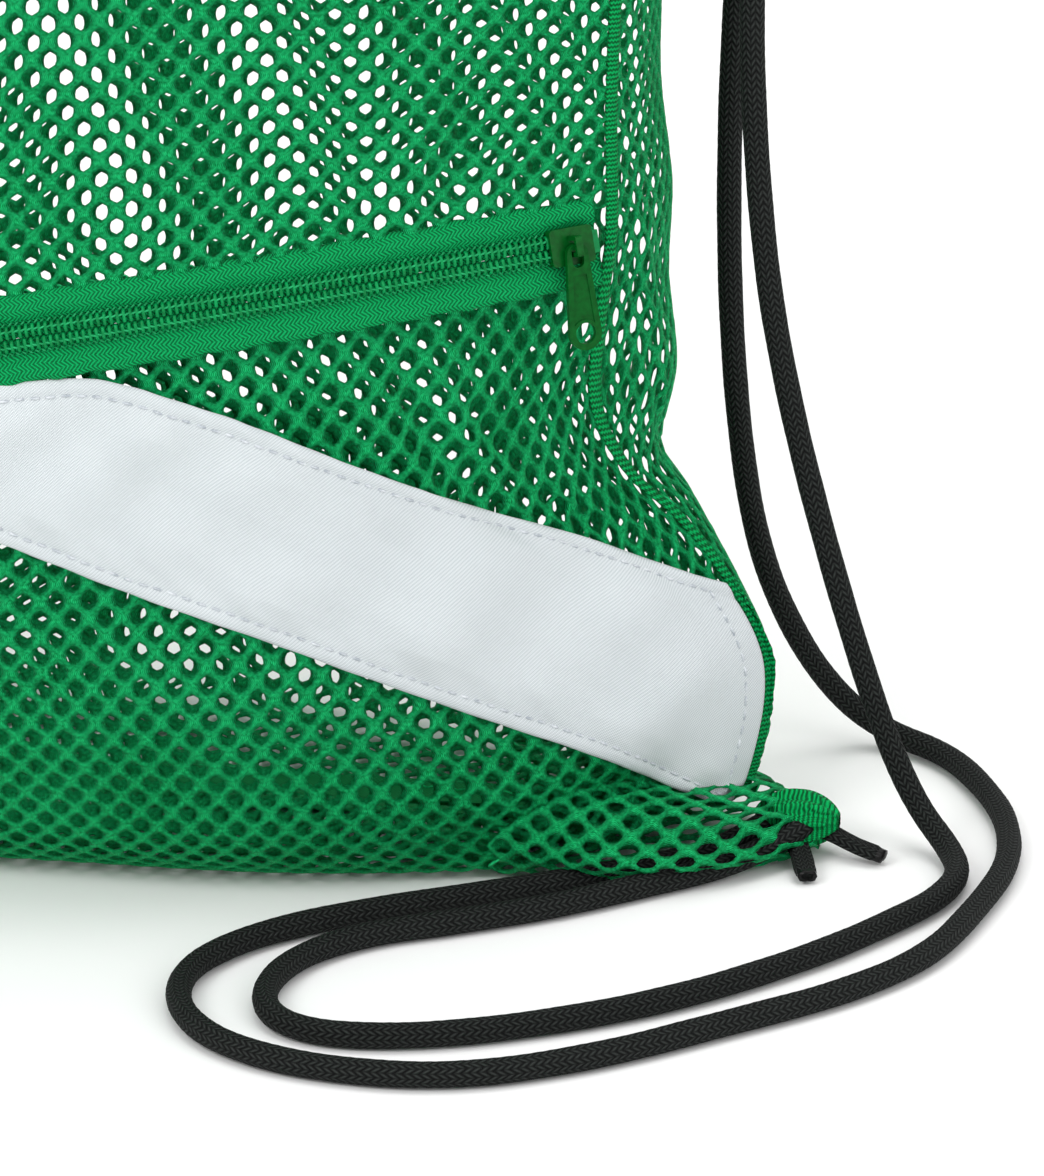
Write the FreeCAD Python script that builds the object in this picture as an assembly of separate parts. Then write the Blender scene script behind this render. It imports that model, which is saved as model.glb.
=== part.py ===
import FreeCAD, Part
import math
import os

from FreeCAD import Matrix, Vector

# Drawstring backpack, standing on the floor with its mouth a little open, in millimetres.
# +Z is up, the pocket side faces -Y, and the origin is under the middle of the bag, on the floor.

# ---- Driving dimensions ----
CLOTH = 1.0              # thickness of the mesh, as a plain skin
EDGE_GAP = 2.0           # from the edge of a mesh panel to the line of the side seam
SEAM_THICK = 1.0         # bound side seams
SEAM_GAP = 0.8           # from a bound seam to the panels beside it
BINDING_THICK = 1.6      # folded tape along the bottom seam
POCKET_DEPTH = 11.0      # fullness of the pocket between its front and its backing
BACKING_GAP = 2.8        # from the pocket's front to its backing at their edges
BACKING_TOP_GAP = 2.4    # and this much more at the zipper, behind the slider
BACKING_INSET = 3.0      # the backing's edge from the pocket's edge, inside the seam

TAPE_HALF = 7.6          # zipper: from the middle of the chain to a tape's outer edge
TAPE_THICK = 0.8
TAPE_SLOT = 0.6          # half of the slot between the two tapes
COIL_RADIUS = 0.8
COIL_OFFSET = 1.4        # from the middle of the chain to a coil's own middle
RUNNING_GAP = 0.3        # slider to tape and coils
SLIDER_HALF_LENGTH = 4.4
SLIDER_HALF_WIDTH = 3.6
PLATE_THICK = 1.0
SLIDER_ANGLE = 33.0      # closed position, degrees along the zipper's arc from its middle
CHAIN_END_ANGLE = 34.15
TAPE_END_ANGLE = 34.45

PULL_LENGTH = 20.4
PULL_TOP_WIDTH = 4.4
PULL_WIDTH = 6.6
PULL_THICK = 1.2
PULL_AXIS_HEIGHT = 1.7   # pull axis above the slider's top plate
PULL_LEAN = 8.0          # how far the hanging pull leans in towards the bag, degrees

STRIPE_THICK = 0.6
STRIPE_LIFT = 0.9

CORD_RADIUS = 2.5
CORD_FLOOR = 2.6         # height of a cord's middle where it lies on the floor
CHANNEL_HALF_WIDTH = 158.0
CHANNEL_BOTTOM = 392.0
CHANNEL_HEIGHT = 19.0
CHANNEL_DEPTH = 9.0
CHANNEL_WALL = 0.9
CORD_STEP = 3.3          # each cord's height above or below the middle of the channel

BINDING_HALF_LENGTH = 125.0
BINDING_HALF_WIDTH = 3.0
FLAT_HALF_LENGTH = 105.0  # the part of the bottom seam that lies on the floor
RISE_RADIUS = 130.6       # then it rises towards the corners on this radius
RISE_END = 150.0

GATHER_CENTRE = Vector(171, -9, 7)
GATHER_HALF_LENGTH = 8.0
GATHER_RADIUS = 6.2

# ---- The bag's surface ----
# Each station is a level section. u runs up the front from the bottom seam.
# u, height, front depth, seam half width, seam y, side half width, back depth, tilt x, tilt y, fullness
STATIONS = [
    (0, 0.85, 5.6, 150, 5.6, 150.3, 8.5, 0, 0, 1.0),
    (34, 0.85, 40, 157, 9, 157.5, 40, 0, 0, 1.0),
    (52, 8, 54, 162, 5, 162.4, 54, 0, 0, 1.0),
    (78, 30, 66, 164.5, 0.5, 164.9, 65, 0.02, 0, 0.8),
    (96, 47.5, 71.5, 157.3, 2.5, 158, 69.5, 0.045, -0.02, 0.62),
    (110, 61, 74, 147.5, 7, 149, 72, 0.075, -0.05, 0.45),
    (120, 70.5, 75.2, 138.5, 13, 141.5, 73.5, 0.1, -0.08, 0.3),
    (134, 83.5, 76, 133, 21, 143.5, 75, 0.14, -0.12, 0.15),
    (150, 99, 75.3, 135, 27, 141, 75, 0.175, -0.165, 0.05),
    (166, 114.5, 74, 138, 30, 141.5, 75, 0.2, -0.2, 0),
    (200, 148.5, 71.5, 137, 28, 140.5, 73, 0.13, -0.13, 0),
    (240, 188.5, 68, 138, 25, 142, 69, 0.06, -0.06, 0),
    (300, 249.5, 60, 144, 20, 148, 60, 0.02, -0.02, 0),
    (360, 310, 49, 150, 17.5, 155, 49, 0, 0, 0),
    (410, 360, 40, 155, 17, 161, 40, 0, 0, 0),
    (441, 390.8, 34, 158, 17, 164, 34, 0, 0, 0),
]
FULL_POWER = 3.5
ZIP_U = 166.0
TOP_U = 441.0


def station(u):
    """The section's values at u, on a smooth curve through the stations."""
    u = min(max(u, STATIONS[0][0]), STATIONS[-1][0])
    i = 0
    while i < len(STATIONS) - 2 and STATIONS[i + 1][0] < u:
        i += 1
    before, after = STATIONS[i], STATIONS[i + 1]
    earlier = STATIONS[max(i - 1, 0)]
    later = STATIONS[min(i + 2, len(STATIONS) - 1)]
    span = after[0] - before[0]
    t = (u - before[0]) / span
    values = []
    for k in range(1, len(before)):
        slope_0 = (after[k] - earlier[k]) / (after[0] - earlier[0]) * span
        slope_1 = (later[k] - before[k]) / (later[0] - before[0]) * span
        values.append(
            before[k] * (2 * t ** 3 - 3 * t ** 2 + 1)
            + slope_0 * (t ** 3 - 2 * t ** 2 + t)
            + after[k] * (3 * t ** 2 - 2 * t ** 3)
            + slope_1 * (t ** 3 - t ** 2)
        )
    return values


def rise(x, u):
    """How far the bottom is off the floor near its corners; this fades out up the bag."""
    over = min(max(abs(x) - FLAT_HALF_LENGTH, 0), RISE_END - FLAT_HALF_LENGTH)
    fade = min(max((100 - u) / 60, 0), 1)
    return (RISE_RADIUS - math.sqrt(RISE_RADIUS ** 2 - over ** 2)) * fade


def section_frame(tilt_x, tilt_y):
    """Unit vectors of a tilted section: along it, out to the front, and its normal."""
    along = Vector(1, 0, tilt_x).normalize()
    normal = Vector(-tilt_x, -tilt_y, 1).normalize()
    return along, along.cross(normal).normalize(), normal


def front_base(s, u):
    """The front's outer surface before the rise: s is -1 at the left seam and 1 at the right."""
    height, depth, half, seam, _, _, tilt_x, tilt_y, full = station(u)
    along, out, _ = section_frame(tilt_x, tilt_y)
    bow = max(depth - seam, 0.01)
    radius = (half ** 2 + bow ** 2) / (2 * bow)
    angle = s * math.asin(half / radius)
    across = radius * math.sin(angle)
    back = radius * (1 - math.cos(angle))
    back += full * (bow * abs(across / half) ** FULL_POWER - back)
    return Vector(0, -depth, height) + along * across - out * back


def front_point(s, u):
    p = front_base(s, u)
    return p + Vector(0, 0, rise(p.x, u))


def back_point(t, u):
    """The back's outer surface: t is 0 at the right seam and 1 at the left."""
    right, left = front_base(1, u), front_base(-1, u)
    _, _, _, _, side, depth, _, _, full = station(u)
    middle, half = (right.x + left.x) / 2, (right.x - left.x) / 2
    start = -math.acos(min(half / side, 1))
    angle = start + t * (math.pi - 2 * start)
    x = middle + side * math.cos(angle)
    if math.sin(angle) < 0:
        y = right.y * math.sin(angle) / math.sin(start)
    else:
        full_y = 1 - abs(math.cos(angle)) ** FULL_POWER
        y = depth * ((1 - full) * math.sin(angle) + full * full_y)
    share = (x - left.x) / (right.x - left.x)
    z = left.z + (right.z - left.z) * share
    return Vector(x, y, z + rise(x, u))


def surface_normal(surface, a, b):
    step = 0.002
    da = surface(min(a + step, 1), b) - surface(max(a - step, 0), b)
    db = surface(a, min(b + step, 1)) - surface(a, max(b - step, 0))
    return da.cross(db).normalize()


def skin(surface, thickness, columns, rows, lift=0.0):
    """A closed sheet: surface(a, b) is its outer side for a and b from 0 to 1, raised by lift."""
    outer, inner = [], []
    for i in range(columns + 1):
        outer_line, inner_line = [], []
        for j in range(rows + 1):
            a, b = i / columns, j / rows
            normal = surface_normal(surface, a, b)
            p = surface(a, b) + normal * lift
            outer_line.append(p)
            inner_line.append(p - normal * thickness)
        outer.append(outer_line)
        inner.append(inner_line)
    faces, borders = [], []
    for grid in (outer, inner):
        patch = Part.BSplineSurface()
        patch.interpolate(grid)
        u0, u1, v0, v1 = patch.bounds()
        faces.append(patch.toShape())
        borders.append([patch.uIso(u0), patch.uIso(u1), patch.vIso(v0), patch.vIso(v1)])
    for outer_edge, inner_edge in zip(*borders):
        wires = [Part.Wire(outer_edge.toShape()), Part.Wire(inner_edge.toShape())]
        faces.append(Part.makeLoft(wires, False, True).Faces[0])
    shell = Part.makeShell(faces)
    shell.sewShape()
    solid = Part.makeSolid(Part.Shell(shell.Faces))
    if solid.Volume < 0:
        solid.reverse()
    return solid


def smooth_line(points, t):
    """A value on a smooth curve through (position, value) points."""
    i = 0
    while i < len(points) - 2 and points[i + 1][0] < t:
        i += 1
    p0, p1 = points[i], points[i + 1]
    before = points[max(i - 1, 0)]
    after = points[min(i + 2, len(points) - 1)]
    span = p1[0] - p0[0]
    w = (t - p0[0]) / span
    m0 = (p1[1] - before[1]) / (p1[0] - before[0]) * span
    m1 = (after[1] - p0[1]) / (after[0] - p0[0]) * span
    return (
        p0[1] * (2 * w ** 3 - 3 * w ** 2 + 1)
        + m0 * (w ** 3 - 2 * w ** 2 + w)
        + p1[1] * (3 * w ** 2 - 2 * w ** 3)
        + m1 * (w ** 3 - w ** 2)
    )


# ---- Mesh panels ----
def edge_share(u):
    """s at the edge of a front panel, just inside the side seam."""
    return 1 - EDGE_GAP / station(u)[2]


def front_strip(u_low, u_high):
    """The front's surface between two levels, from edge to edge."""
    def surface(a, b):
        u = u_low + (u_high - u_low) * b
        return front_point((2 * a - 1) * edge_share(u), u)
    return surface


def back_strip(a, b):
    u = TOP_U * (0.35 * b + 0.65 * b * b)
    margin = EDGE_GAP / 440
    return back_point(margin + a * (1 - 2 * margin), u)


def backing_strip(a, b):
    """The pocket's backing: it lies behind the pocket's front, and just above its floor."""
    u = 2 + (ZIP_U + 8) * b
    share = edge_share(u) - BACKING_INSET / station(u)[2]
    p = front_point((2 * a - 1) * share, u)
    fullness = math.sin(math.pi * a) * math.sin(math.pi * b)
    wall = min(max((u - 20) / 50, 0), 1)
    p.y += (BACKING_GAP + BACKING_TOP_GAP * b + POCKET_DEPTH * fullness) * wall
    p.z += BACKING_GAP * (1 - wall)
    return p


def front_mesh_upper():
    return skin(front_strip(ZIP_U + TAPE_HALF + 0.9, TOP_U), CLOTH, 12, 14)


def pocket_mesh():
    return skin(front_strip(0, ZIP_U - TAPE_HALF - 0.9), CLOTH, 18, 24)


def pocket_backing_mesh():
    return skin(backing_strip, CLOTH, 14, 20)


def back_mesh():
    return skin(back_strip, CLOTH, 26, 24)


# ---- Seams ----
def side_seam(side):
    """A bound strip that fills the gap between the front and the back along one side."""
    def surface(a, b):
        u = 14 + (TOP_U - 14) * b
        margin = EDGE_GAP / 440
        front_edge = front_point(side * edge_share(u), u)
        back_edge = back_point(margin if side > 0 else 1 - margin, u)
        along = back_edge - front_edge
        gap = along.normalize() * SEAM_GAP
        start, end = front_edge + gap, back_edge - gap
        if side < 0:
            start, end = end, start
        return start + (end - start) * a
    return skin(surface, SEAM_THICK, 3, 26)


def bottom_binding():
    """A folded tape along the bottom seam, flat on the floor and rising to both corners."""
    def profile(lift):
        rise_at_end = rise(BINDING_HALF_LENGTH, 0)
        middle = (FLAT_HALF_LENGTH + BINDING_HALF_LENGTH) / 2
        ends = [Vector(x, 0, lift + rise(x, 0)) for x in (FLAT_HALF_LENGTH, middle)]
        tip = Vector(BINDING_HALF_LENGTH, 0, lift + rise_at_end)
        mirrored = [Vector(-p.x, 0, p.z) for p in (ends[0], ends[1], tip)]
        return [
            Part.Arc(mirrored[2], mirrored[1], mirrored[0]).toShape(),
            Part.LineSegment(mirrored[0], ends[0]).toShape(),
            Part.Arc(ends[0], ends[1], tip).toShape(),
        ], mirrored[2], tip
    lower, low_left, low_right = profile(0)
    upper, high_left, high_right = profile(BINDING_THICK)
    sides = [
        Part.LineSegment(low_right, high_right).toShape(),
        Part.LineSegment(low_left, high_left).toShape(),
    ]
    face = Part.Face(Part.Wire(Part.__sortEdges__(lower + upper + sides)))
    solid = face.extrude(Vector(0, 2 * BINDING_HALF_WIDTH, 0))
    solid.translate(Vector(0, -BINDING_HALF_WIDTH, 0))
    return solid


def corner_gather(side):
    """The bunched corner of the cloth, tied round the two ends of a cord."""
    body = Part.makeSphere(1)
    scale = Matrix()
    scale.scale(GATHER_HALF_LENGTH, GATHER_RADIUS, GATHER_RADIUS)
    body = body.transformGeometry(scale)
    body.translate(Vector(side * GATHER_CENTRE.x, GATHER_CENTRE.y, GATHER_CENTRE.z))
    return body


# ---- White stripe ----
# (s, u) along its two long edges, from the zipper's tape down to the right corner
STRIPE_TOP = [(-0.16, 157), (0.27, 157), (0.44, 147.9), (0.615, 134.9), (0.815, 116.7), (0.955, 98.5)]
STRIPE_BOTTOM = [(-0.16, 151), (0.167, 126.6), (0.337, 111.9), (0.495, 98.5), (0.796, 69.4), (0.955, 50)]


def stripe_surface(a, b):
    s = STRIPE_TOP[0][0] + (STRIPE_TOP[-1][0] - STRIPE_TOP[0][0]) * a
    low, high = smooth_line(STRIPE_BOTTOM, s), smooth_line(STRIPE_TOP, s)
    return front_point(s, low + (high - low) * b)


def stripe():
    return skin(stripe_surface, STRIPE_THICK, 24, 10, STRIPE_LIFT + STRIPE_THICK)


# ---- Zipper, on an arc about one axis ----
ZIP = station(ZIP_U)
ZIP_ALONG, ZIP_OUT, ZIP_NORMAL = section_frame(ZIP[6], ZIP[7])
ZIP_BOW = ZIP[1] - ZIP[3]
ZIP_RADIUS = (ZIP[2] ** 2 + ZIP_BOW ** 2) / (2 * ZIP_BOW)
ZIP_CENTRE = Vector(0, -ZIP[1], ZIP[0]) - ZIP_OUT * ZIP_RADIUS


def place_on_zipper(shape, angle=0.0):
    """From the zipper's own axes (x along, -y out, z across) to the bag, turned along the arc."""
    x, y, z = ZIP_ALONG, ZIP_OUT * -1, ZIP_NORMAL
    turned = shape.copy()
    turned.rotate(Vector(0, 0, 0), Vector(0, 0, 1), angle)
    matrix = Matrix(
        x.x, y.x, z.x, ZIP_CENTRE.x,
        x.y, y.y, z.y, ZIP_CENTRE.y,
        x.z, y.z, z.z, ZIP_CENTRE.z,
        0, 0, 0, 1,
    )
    turned.Placement = FreeCAD.Placement(matrix).multiply(turned.Placement)
    return turned


def swept_about_zipper(face, start, end):
    face = face.copy()
    face.rotate(Vector(0, 0, 0), Vector(0, 0, 1), start)
    return place_on_zipper(face.revolve(Vector(0, 0, 0), Vector(0, 0, 1), end - start))


def zip_rectangle(low_out, high_out, low_across, high_across):
    corners = [
        Vector(0, -ZIP_RADIUS - o, w)
        for o, w in (
            (low_out, low_across),
            (high_out, low_across),
            (high_out, high_across),
            (low_out, high_across),
        )
    ]
    return Part.Face(Part.makePolygon(corners + corners[:1]))


def zipper_tape(side):
    low, high = sorted((side * TAPE_SLOT, side * TAPE_HALF))
    profile = zip_rectangle(-TAPE_THICK / 2, TAPE_THICK / 2, low, high)
    return swept_about_zipper(profile, -TAPE_END_ANGLE, TAPE_END_ANGLE)


def zipper_coil(side):
    middle = Vector(0, -ZIP_RADIUS - TAPE_THICK / 2 - COIL_RADIUS, side * COIL_OFFSET)
    circle = Part.makeCircle(COIL_RADIUS, middle, Vector(1, 0, 0))
    return swept_about_zipper(
        Part.Face(Part.Wire(circle)), -CHAIN_END_ANGLE + 0.4, CHAIN_END_ANGLE - 0.1
    )


def zipper_stop(side):
    """A short clip across both tapes at one end of the chain."""
    low, high = sorted((side * CHAIN_END_ANGLE, side * (CHAIN_END_ANGLE + 0.28)))
    across = COIL_OFFSET + COIL_RADIUS
    return swept_about_zipper(zip_rectangle(TAPE_THICK / 2, 2.0, -across, across), low, high)


def slider_box(x, out, across):
    """A block in the slider's own axes, from (low, high) along, out and across."""
    block = Part.makeBox(x[1] - x[0], out[1] - out[0], across[1] - across[0])
    block.translate(Vector(x[0], -ZIP_RADIUS - out[1], across[0]))
    return block


TAPE_TOP = TAPE_THICK / 2
COIL_TOP = TAPE_TOP + 2 * COIL_RADIUS
PLATE_LOW = COIL_TOP + RUNNING_GAP
PLATE_HIGH = PLATE_LOW + PLATE_THICK
UNDER_HIGH = -TAPE_TOP - RUNNING_GAP
UNDER_LOW = UNDER_HIGH - PLATE_THICK
LIP_INSIDE = COIL_OFFSET + COIL_RADIUS + RUNNING_GAP


def slider_body():
    length, width = SLIDER_HALF_LENGTH, SLIDER_HALF_WIDTH
    span = (-length, length)
    plate = slider_box(span, (PLATE_LOW, PLATE_HIGH), (-width, width))
    under = slider_box(span, (UNDER_LOW, UNDER_HIGH), (-width, width))
    post = slider_box((1.6, 3.6), (UNDER_HIGH, PLATE_LOW), (-0.3, 0.3))
    body = plate.fuse([under, post])
    for side in (-1, 1):
        across = sorted((side * LIP_INSIDE, side * width))
        lip = slider_box(span, (TAPE_TOP + RUNNING_GAP, PLATE_LOW), across)
        body = body.fuse(lip)
    body = body.removeSplitter()
    corners = [
        e for e in body.Edges
        if abs(abs(e.CenterOfMass.x) - length) < 0.01 and abs(abs(e.CenterOfMass.z) - width) < 0.01
    ]
    return place_on_zipper(body.makeFillet(0.85, corners), SLIDER_ANGLE)


BAIL_HALF_LENGTH = 0.7
BAIL_INSIDE = 1.15
BAIL_BAR = 0.9
BAIL_CLEAR = 3.1


def slider_bail():
    """The loop on the slider's face that holds the pull."""
    outside = BAIL_INSIDE + BAIL_BAR
    span = (-BAIL_HALF_LENGTH, BAIL_HALF_LENGTH)
    top = (PLATE_HIGH + BAIL_CLEAR, PLATE_HIGH + BAIL_CLEAR + BAIL_BAR)
    bail = slider_box(span, top, (-outside, outside))
    for side in (-1, 1):
        across = sorted((side * BAIL_INSIDE, side * outside))
        bail = bail.fuse(slider_box(span, (PLATE_HIGH, top[1]), across))
    bail = bail.removeSplitter()
    shoulders = [
        e for e in bail.Edges
        if abs(e.CenterOfMass.y + ZIP_RADIUS + top[1]) < 0.01
        and abs(abs(e.CenterOfMass.z) - outside) < 0.01
    ]
    return place_on_zipper(bail.makeFillet(0.6, shoulders), SLIDER_ANGLE)


def slider_point(along, out, across):
    """A point in the slider's own axes, carried to the bag."""
    point = Vector(along, -ZIP_RADIUS - out, across)
    return place_on_zipper(Part.Vertex(point), SLIDER_ANGLE).Point


PULL_OUT = PLATE_HIGH + PULL_AXIS_HEIGHT
PULL_ORIGIN = slider_point(0, PULL_OUT, 0)
PULL_AXIS = slider_point(1, PULL_OUT, 0) - PULL_ORIGIN
LEAN = math.radians(PULL_LEAN)
PULL_DOWN = slider_point(0, PULL_OUT - math.sin(LEAN), -math.cos(LEAN)) - PULL_ORIGIN


def round_ended_outline(shrink, depth):
    """The pull's tapering outline with round ends, extruded; x across, y down its length."""
    top_half, low_half = PULL_TOP_WIDTH / 2 - shrink, PULL_WIDTH / 2 - shrink
    top_y = -0.6 + PULL_TOP_WIDTH / 2
    low_y = PULL_LENGTH - PULL_WIDTH / 2
    edges = [
        Part.LineSegment(Vector(top_half, top_y, 0), Vector(low_half, low_y, 0)),
        Part.Arc(
            Vector(low_half, low_y, 0), Vector(0, low_y + low_half, 0), Vector(-low_half, low_y, 0)
        ),
        Part.LineSegment(Vector(-low_half, low_y, 0), Vector(-top_half, top_y, 0)),
        Part.Arc(
            Vector(-top_half, top_y, 0), Vector(0, top_y - top_half, 0), Vector(top_half, top_y, 0)
        ),
    ]
    face = Part.Face(Part.Wire([e.toShape() for e in edges]))
    return face.extrude(Vector(0, 0, depth))


def pull_tab():
    """A flat tab with a raised rim, a slot round the bail and a finger hole at its foot."""
    half = PULL_THICK / 2
    rim, recess = 1.1, 0.25
    tab = round_ended_outline(0, PULL_THICK)
    tab.translate(Vector(0, 0, -half))
    hollow = round_ended_outline(rim, recess)
    low_rim = Part.makeBox(PULL_WIDTH, 6.2, recess, Vector(-PULL_WIDTH / 2, -0.6, 0))
    hollow = hollow.cut(low_rim)
    for z in (half - recess, -half):
        pocket = hollow.copy()
        pocket.translate(Vector(0, 0, z))
        tab = tab.cut(pocket)
    slot = Part.makeBox(2.4, 2.4, PULL_THICK * 2, Vector(-1.2, 0.55, -PULL_THICK))
    slot = slot.fuse(Part.makeCylinder(1.2, PULL_THICK * 2, Vector(0, 2.95, -PULL_THICK)))
    tab = tab.cut(slot.removeSplitter())
    eye_y = PULL_LENGTH - PULL_WIDTH / 2
    ring = Part.makeCylinder(2.7, PULL_THICK, Vector(0, eye_y, -half))
    tab = tab.fuse(ring)
    tab = tab.cut(Part.makeCylinder(2.05, PULL_THICK * 2, Vector(0, eye_y, -PULL_THICK)))
    tab = tab.removeSplitter()
    x, y, z = PULL_AXIS, PULL_DOWN, PULL_AXIS.cross(PULL_DOWN)
    matrix = Matrix(
        x.x, y.x, z.x, PULL_ORIGIN.x,
        x.y, y.y, z.y, PULL_ORIGIN.y,
        x.z, y.z, z.z, PULL_ORIGIN.z,
        0, 0, 0, 1,
    )
    tab.Placement = FreeCAD.Placement(matrix)
    return tab


# ---- Hem channels at the mouth ----
MOUTH_DEPTH, MOUTH_SEAM = STATIONS[-1][2], STATIONS[-1][4]
MOUTH_BOW = MOUTH_DEPTH - MOUTH_SEAM
MOUTH_RADIUS = (CHANNEL_HALF_WIDTH ** 2 + MOUTH_BOW ** 2) / (2 * MOUTH_BOW)
MOUTH_ANGLE = math.degrees(math.asin(CHANNEL_HALF_WIDTH / MOUTH_RADIUS))
CHANNEL_MIDDLE = CHANNEL_BOTTOM + CHANNEL_HEIGHT / 2


def stadium(width, height):
    """A tall round-ended face in the YZ plane, centred on the mouth's arc at x = 0."""
    radius = width / 2
    flat = height / 2 - radius
    y, z = -MOUTH_RADIUS, CHANNEL_MIDDLE
    points = [
        Vector(0, y + radius, z - flat),
        Vector(0, y + radius, z + flat),
        Vector(0, y, z + flat + radius),
        Vector(0, y - radius, z + flat),
        Vector(0, y - radius, z - flat),
        Vector(0, y, z - flat - radius),
    ]
    edges = [
        Part.LineSegment(points[0], points[1]),
        Part.Arc(points[1], points[2], points[3]),
        Part.LineSegment(points[3], points[4]),
        Part.Arc(points[4], points[5], points[0]),
    ]
    return Part.Face(Part.Wire([e.toShape() for e in edges]))


def hem_channel(side):
    """One half of the mouth's hem, a flat tube that both cords run through."""
    wall = 2 * CHANNEL_WALL
    ring = stadium(CHANNEL_DEPTH, CHANNEL_HEIGHT)
    ring = ring.cut(stadium(CHANNEL_DEPTH - wall, CHANNEL_HEIGHT - wall))
    ring.rotate(Vector(0, 0, 0), Vector(0, 0, 1), -MOUTH_ANGLE)
    tube = ring.revolve(Vector(0, 0, 0), Vector(0, 0, 1), 2 * MOUTH_ANGLE)
    tube.translate(Vector(0, MOUTH_RADIUS - MOUTH_DEPTH, 0))
    if side > 0:
        tube.rotate(Vector(0, 0, 0), Vector(0, 0, 1), 180)
    return tube


def bar_tacks():
    """Four dense stitches that hold the ends of the channels to the panels below."""
    tacks = []
    for x in (-1, 1):
        for y in (-1, 1):
            tack = Part.makeBox(7, 1.2, 2.2)
            tack.translate(Vector(-3.5, -0.6, CHANNEL_BOTTOM - 3.2))
            tack.rotate(Vector(0, 0, 0), Vector(0, 0, 1), x * y * -11)
            tack.translate(Vector(x * 150, y * (MOUTH_SEAM + 3.3), 0))
            tacks.append(tack)
    return Part.makeCompound(tacks)


# ---- Drawcords ----
# Right cord, from its end in the corner, over the floor, up the side, round the mouth and back.
# Heights in the channel are added by the loop below, because the two cords run at two heights.
FLOOR_A = [
    (168, -9, 7.5), (161, -16.5, 4.2), (151, -25, CORD_FLOOR), (137, -35, CORD_FLOOR),
    (118, -47.5, CORD_FLOOR), (100, -58, CORD_FLOOR), (84, -69, CORD_FLOOR), (72, -81.5, CORD_FLOOR),
    (65, -97, CORD_FLOOR), (67, -114.5, CORD_FLOOR), (78, -130, CORD_FLOOR), (98, -139, CORD_FLOOR),
    (125, -139, CORD_FLOOR), (150, -124.5, CORD_FLOOR), (172, -104, CORD_FLOOR),
    (191, -86.5, CORD_FLOOR), (205, -66, CORD_FLOOR), (211, -41, CORD_FLOOR),
    (215, -16, CORD_FLOOR), (212, 7, CORD_FLOOR), (204, 27, CORD_FLOOR), (195, 42, CORD_FLOOR),
]
RISE_A = [
    (183, 49.5, 3.2), (173, 50.5, 9), (164, 44, 24), (156.5, 35, 47), (153, 27, 78),
    (151.5, 21.5, 118),
    (152.5, 19.5, 166), (157, 18.5, 220), (164, 19, 274), (172.5, 21, 322), (178.5, 23, 360),
]
MOUTH_OUT = [
    (180.5, 23.8, -23), (178, 23, -9.5), (169.5, 20.5, -1), (159, 17.4, 0),
    (144, 19.9, 0), (118, 25.0, 0), (80, 30.2, 0), (40, 33.2, 0),
]
FAR_TURN = [
    (-159, 17.2, 0), (-168.6, 15.9, 0), (-175.9, 9.4, 0), (-178.6, 0, 0),
]
FALL_B = [
    (178.5, -22.5, 360), (173.5, -19, 322), (167.5, -14, 274), (162, -10, 222),
    (159.5, -7.5, 172), (162.5, -6, 124), (168, -4, 92), (176, -2, 60), (183.5, 0, 34),
    (189, -0.5, 19), (195, -3, 8), (202, -10, 2.8),
]
FLOOR_B = [
    (206, -23, CORD_FLOOR), (203, -37, CORD_FLOOR), (195.5, -50, CORD_FLOOR),
    (187, -63.5, CORD_FLOOR), (176, -77.5, CORD_FLOOR), (162, -92.5, CORD_FLOOR),
    (145, -106, CORD_FLOOR), (121.5, -119, CORD_FLOOR), (101, -123.5, CORD_FLOOR),
    (88.5, -119.5, CORD_FLOOR), (82.5, -109, CORD_FLOOR), (82.5, -95.5, CORD_FLOOR),
    (87.5, -83, CORD_FLOOR), (97.5, -72.5, CORD_FLOOR), (113, -64, CORD_FLOOR),
    (130, -53, CORD_FLOOR), (143.5, -41, CORD_FLOOR), (156, -30.5, CORD_FLOOR),
    (166, -22, 4.2), (173.5, -13.5, 7),
]


def cord_route(side):
    """The whole route of one cord; the left cord is the right one's mirror, lower in the channel."""
    level = CHANNEL_MIDDLE + side * CORD_STEP
    mouth = [(x, y, level + z) for x, y, z in MOUTH_OUT]
    mouth_back = [(-x, y, z) for x, y, z in reversed(mouth[3:])]
    turn = [(x, y, level + z) for x, y, z in FAR_TURN[1:]]
    half = mouth + [(0, MOUTH_DEPTH, level)] + mouth_back + turn
    other_half = [(x, -y, z) for x, y, z in reversed(half[:-1])]
    route = FLOOR_A + RISE_A + half + other_half + FALL_B + FLOOR_B
    return [Vector(side * x, y, z) for x, y, z in route]


def cord_tube(name, route, radius):
    """A tube of straight runs joined by tangent arcs, each arc as large as its two runs allow."""
    edges, radii = [], []
    last = route[0]
    for before, corner, after in zip(route, route[1:], route[2:]):
        back, ahead = before - corner, after - corner
        reach = 0.45 * min(back.Length, ahead.Length)
        turn = math.pi - back.getAngle(ahead)
        radii.append(reach / math.tan(turn / 2))
        start = corner + back.normalize() * reach
        end = corner + ahead.normalize() * reach
        centre_way = (start + end - corner * 2).normalize()
        middle = corner + centre_way * (math.hypot(radii[-1], reach) - radii[-1])
        edges.append(Part.LineSegment(last, start).toShape())
        edges.append(Part.Arc(start, middle, end).toShape())
        last = end
    edges.append(Part.LineSegment(last, route[-1]).toShape())
    path = Part.Wire(edges)
    circle = Part.makeCircle(radius, route[0], route[1] - route[0])
    tube = path.makePipeShell([Part.Wire(circle)], True, False)
    share = tube.Volume / (math.pi * radius ** 2 * path.Length)
    tightest = min(radii) / (2 * radius)
    print(f"{name}: length {path.Length:.0f} mm, tightest bend {tightest:.1f} diameters, "
          f"volume over section times length {share:.4f}")
    print("  radii", " ".join(f"{r:.0f}" for r in radii))
    return tube


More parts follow.
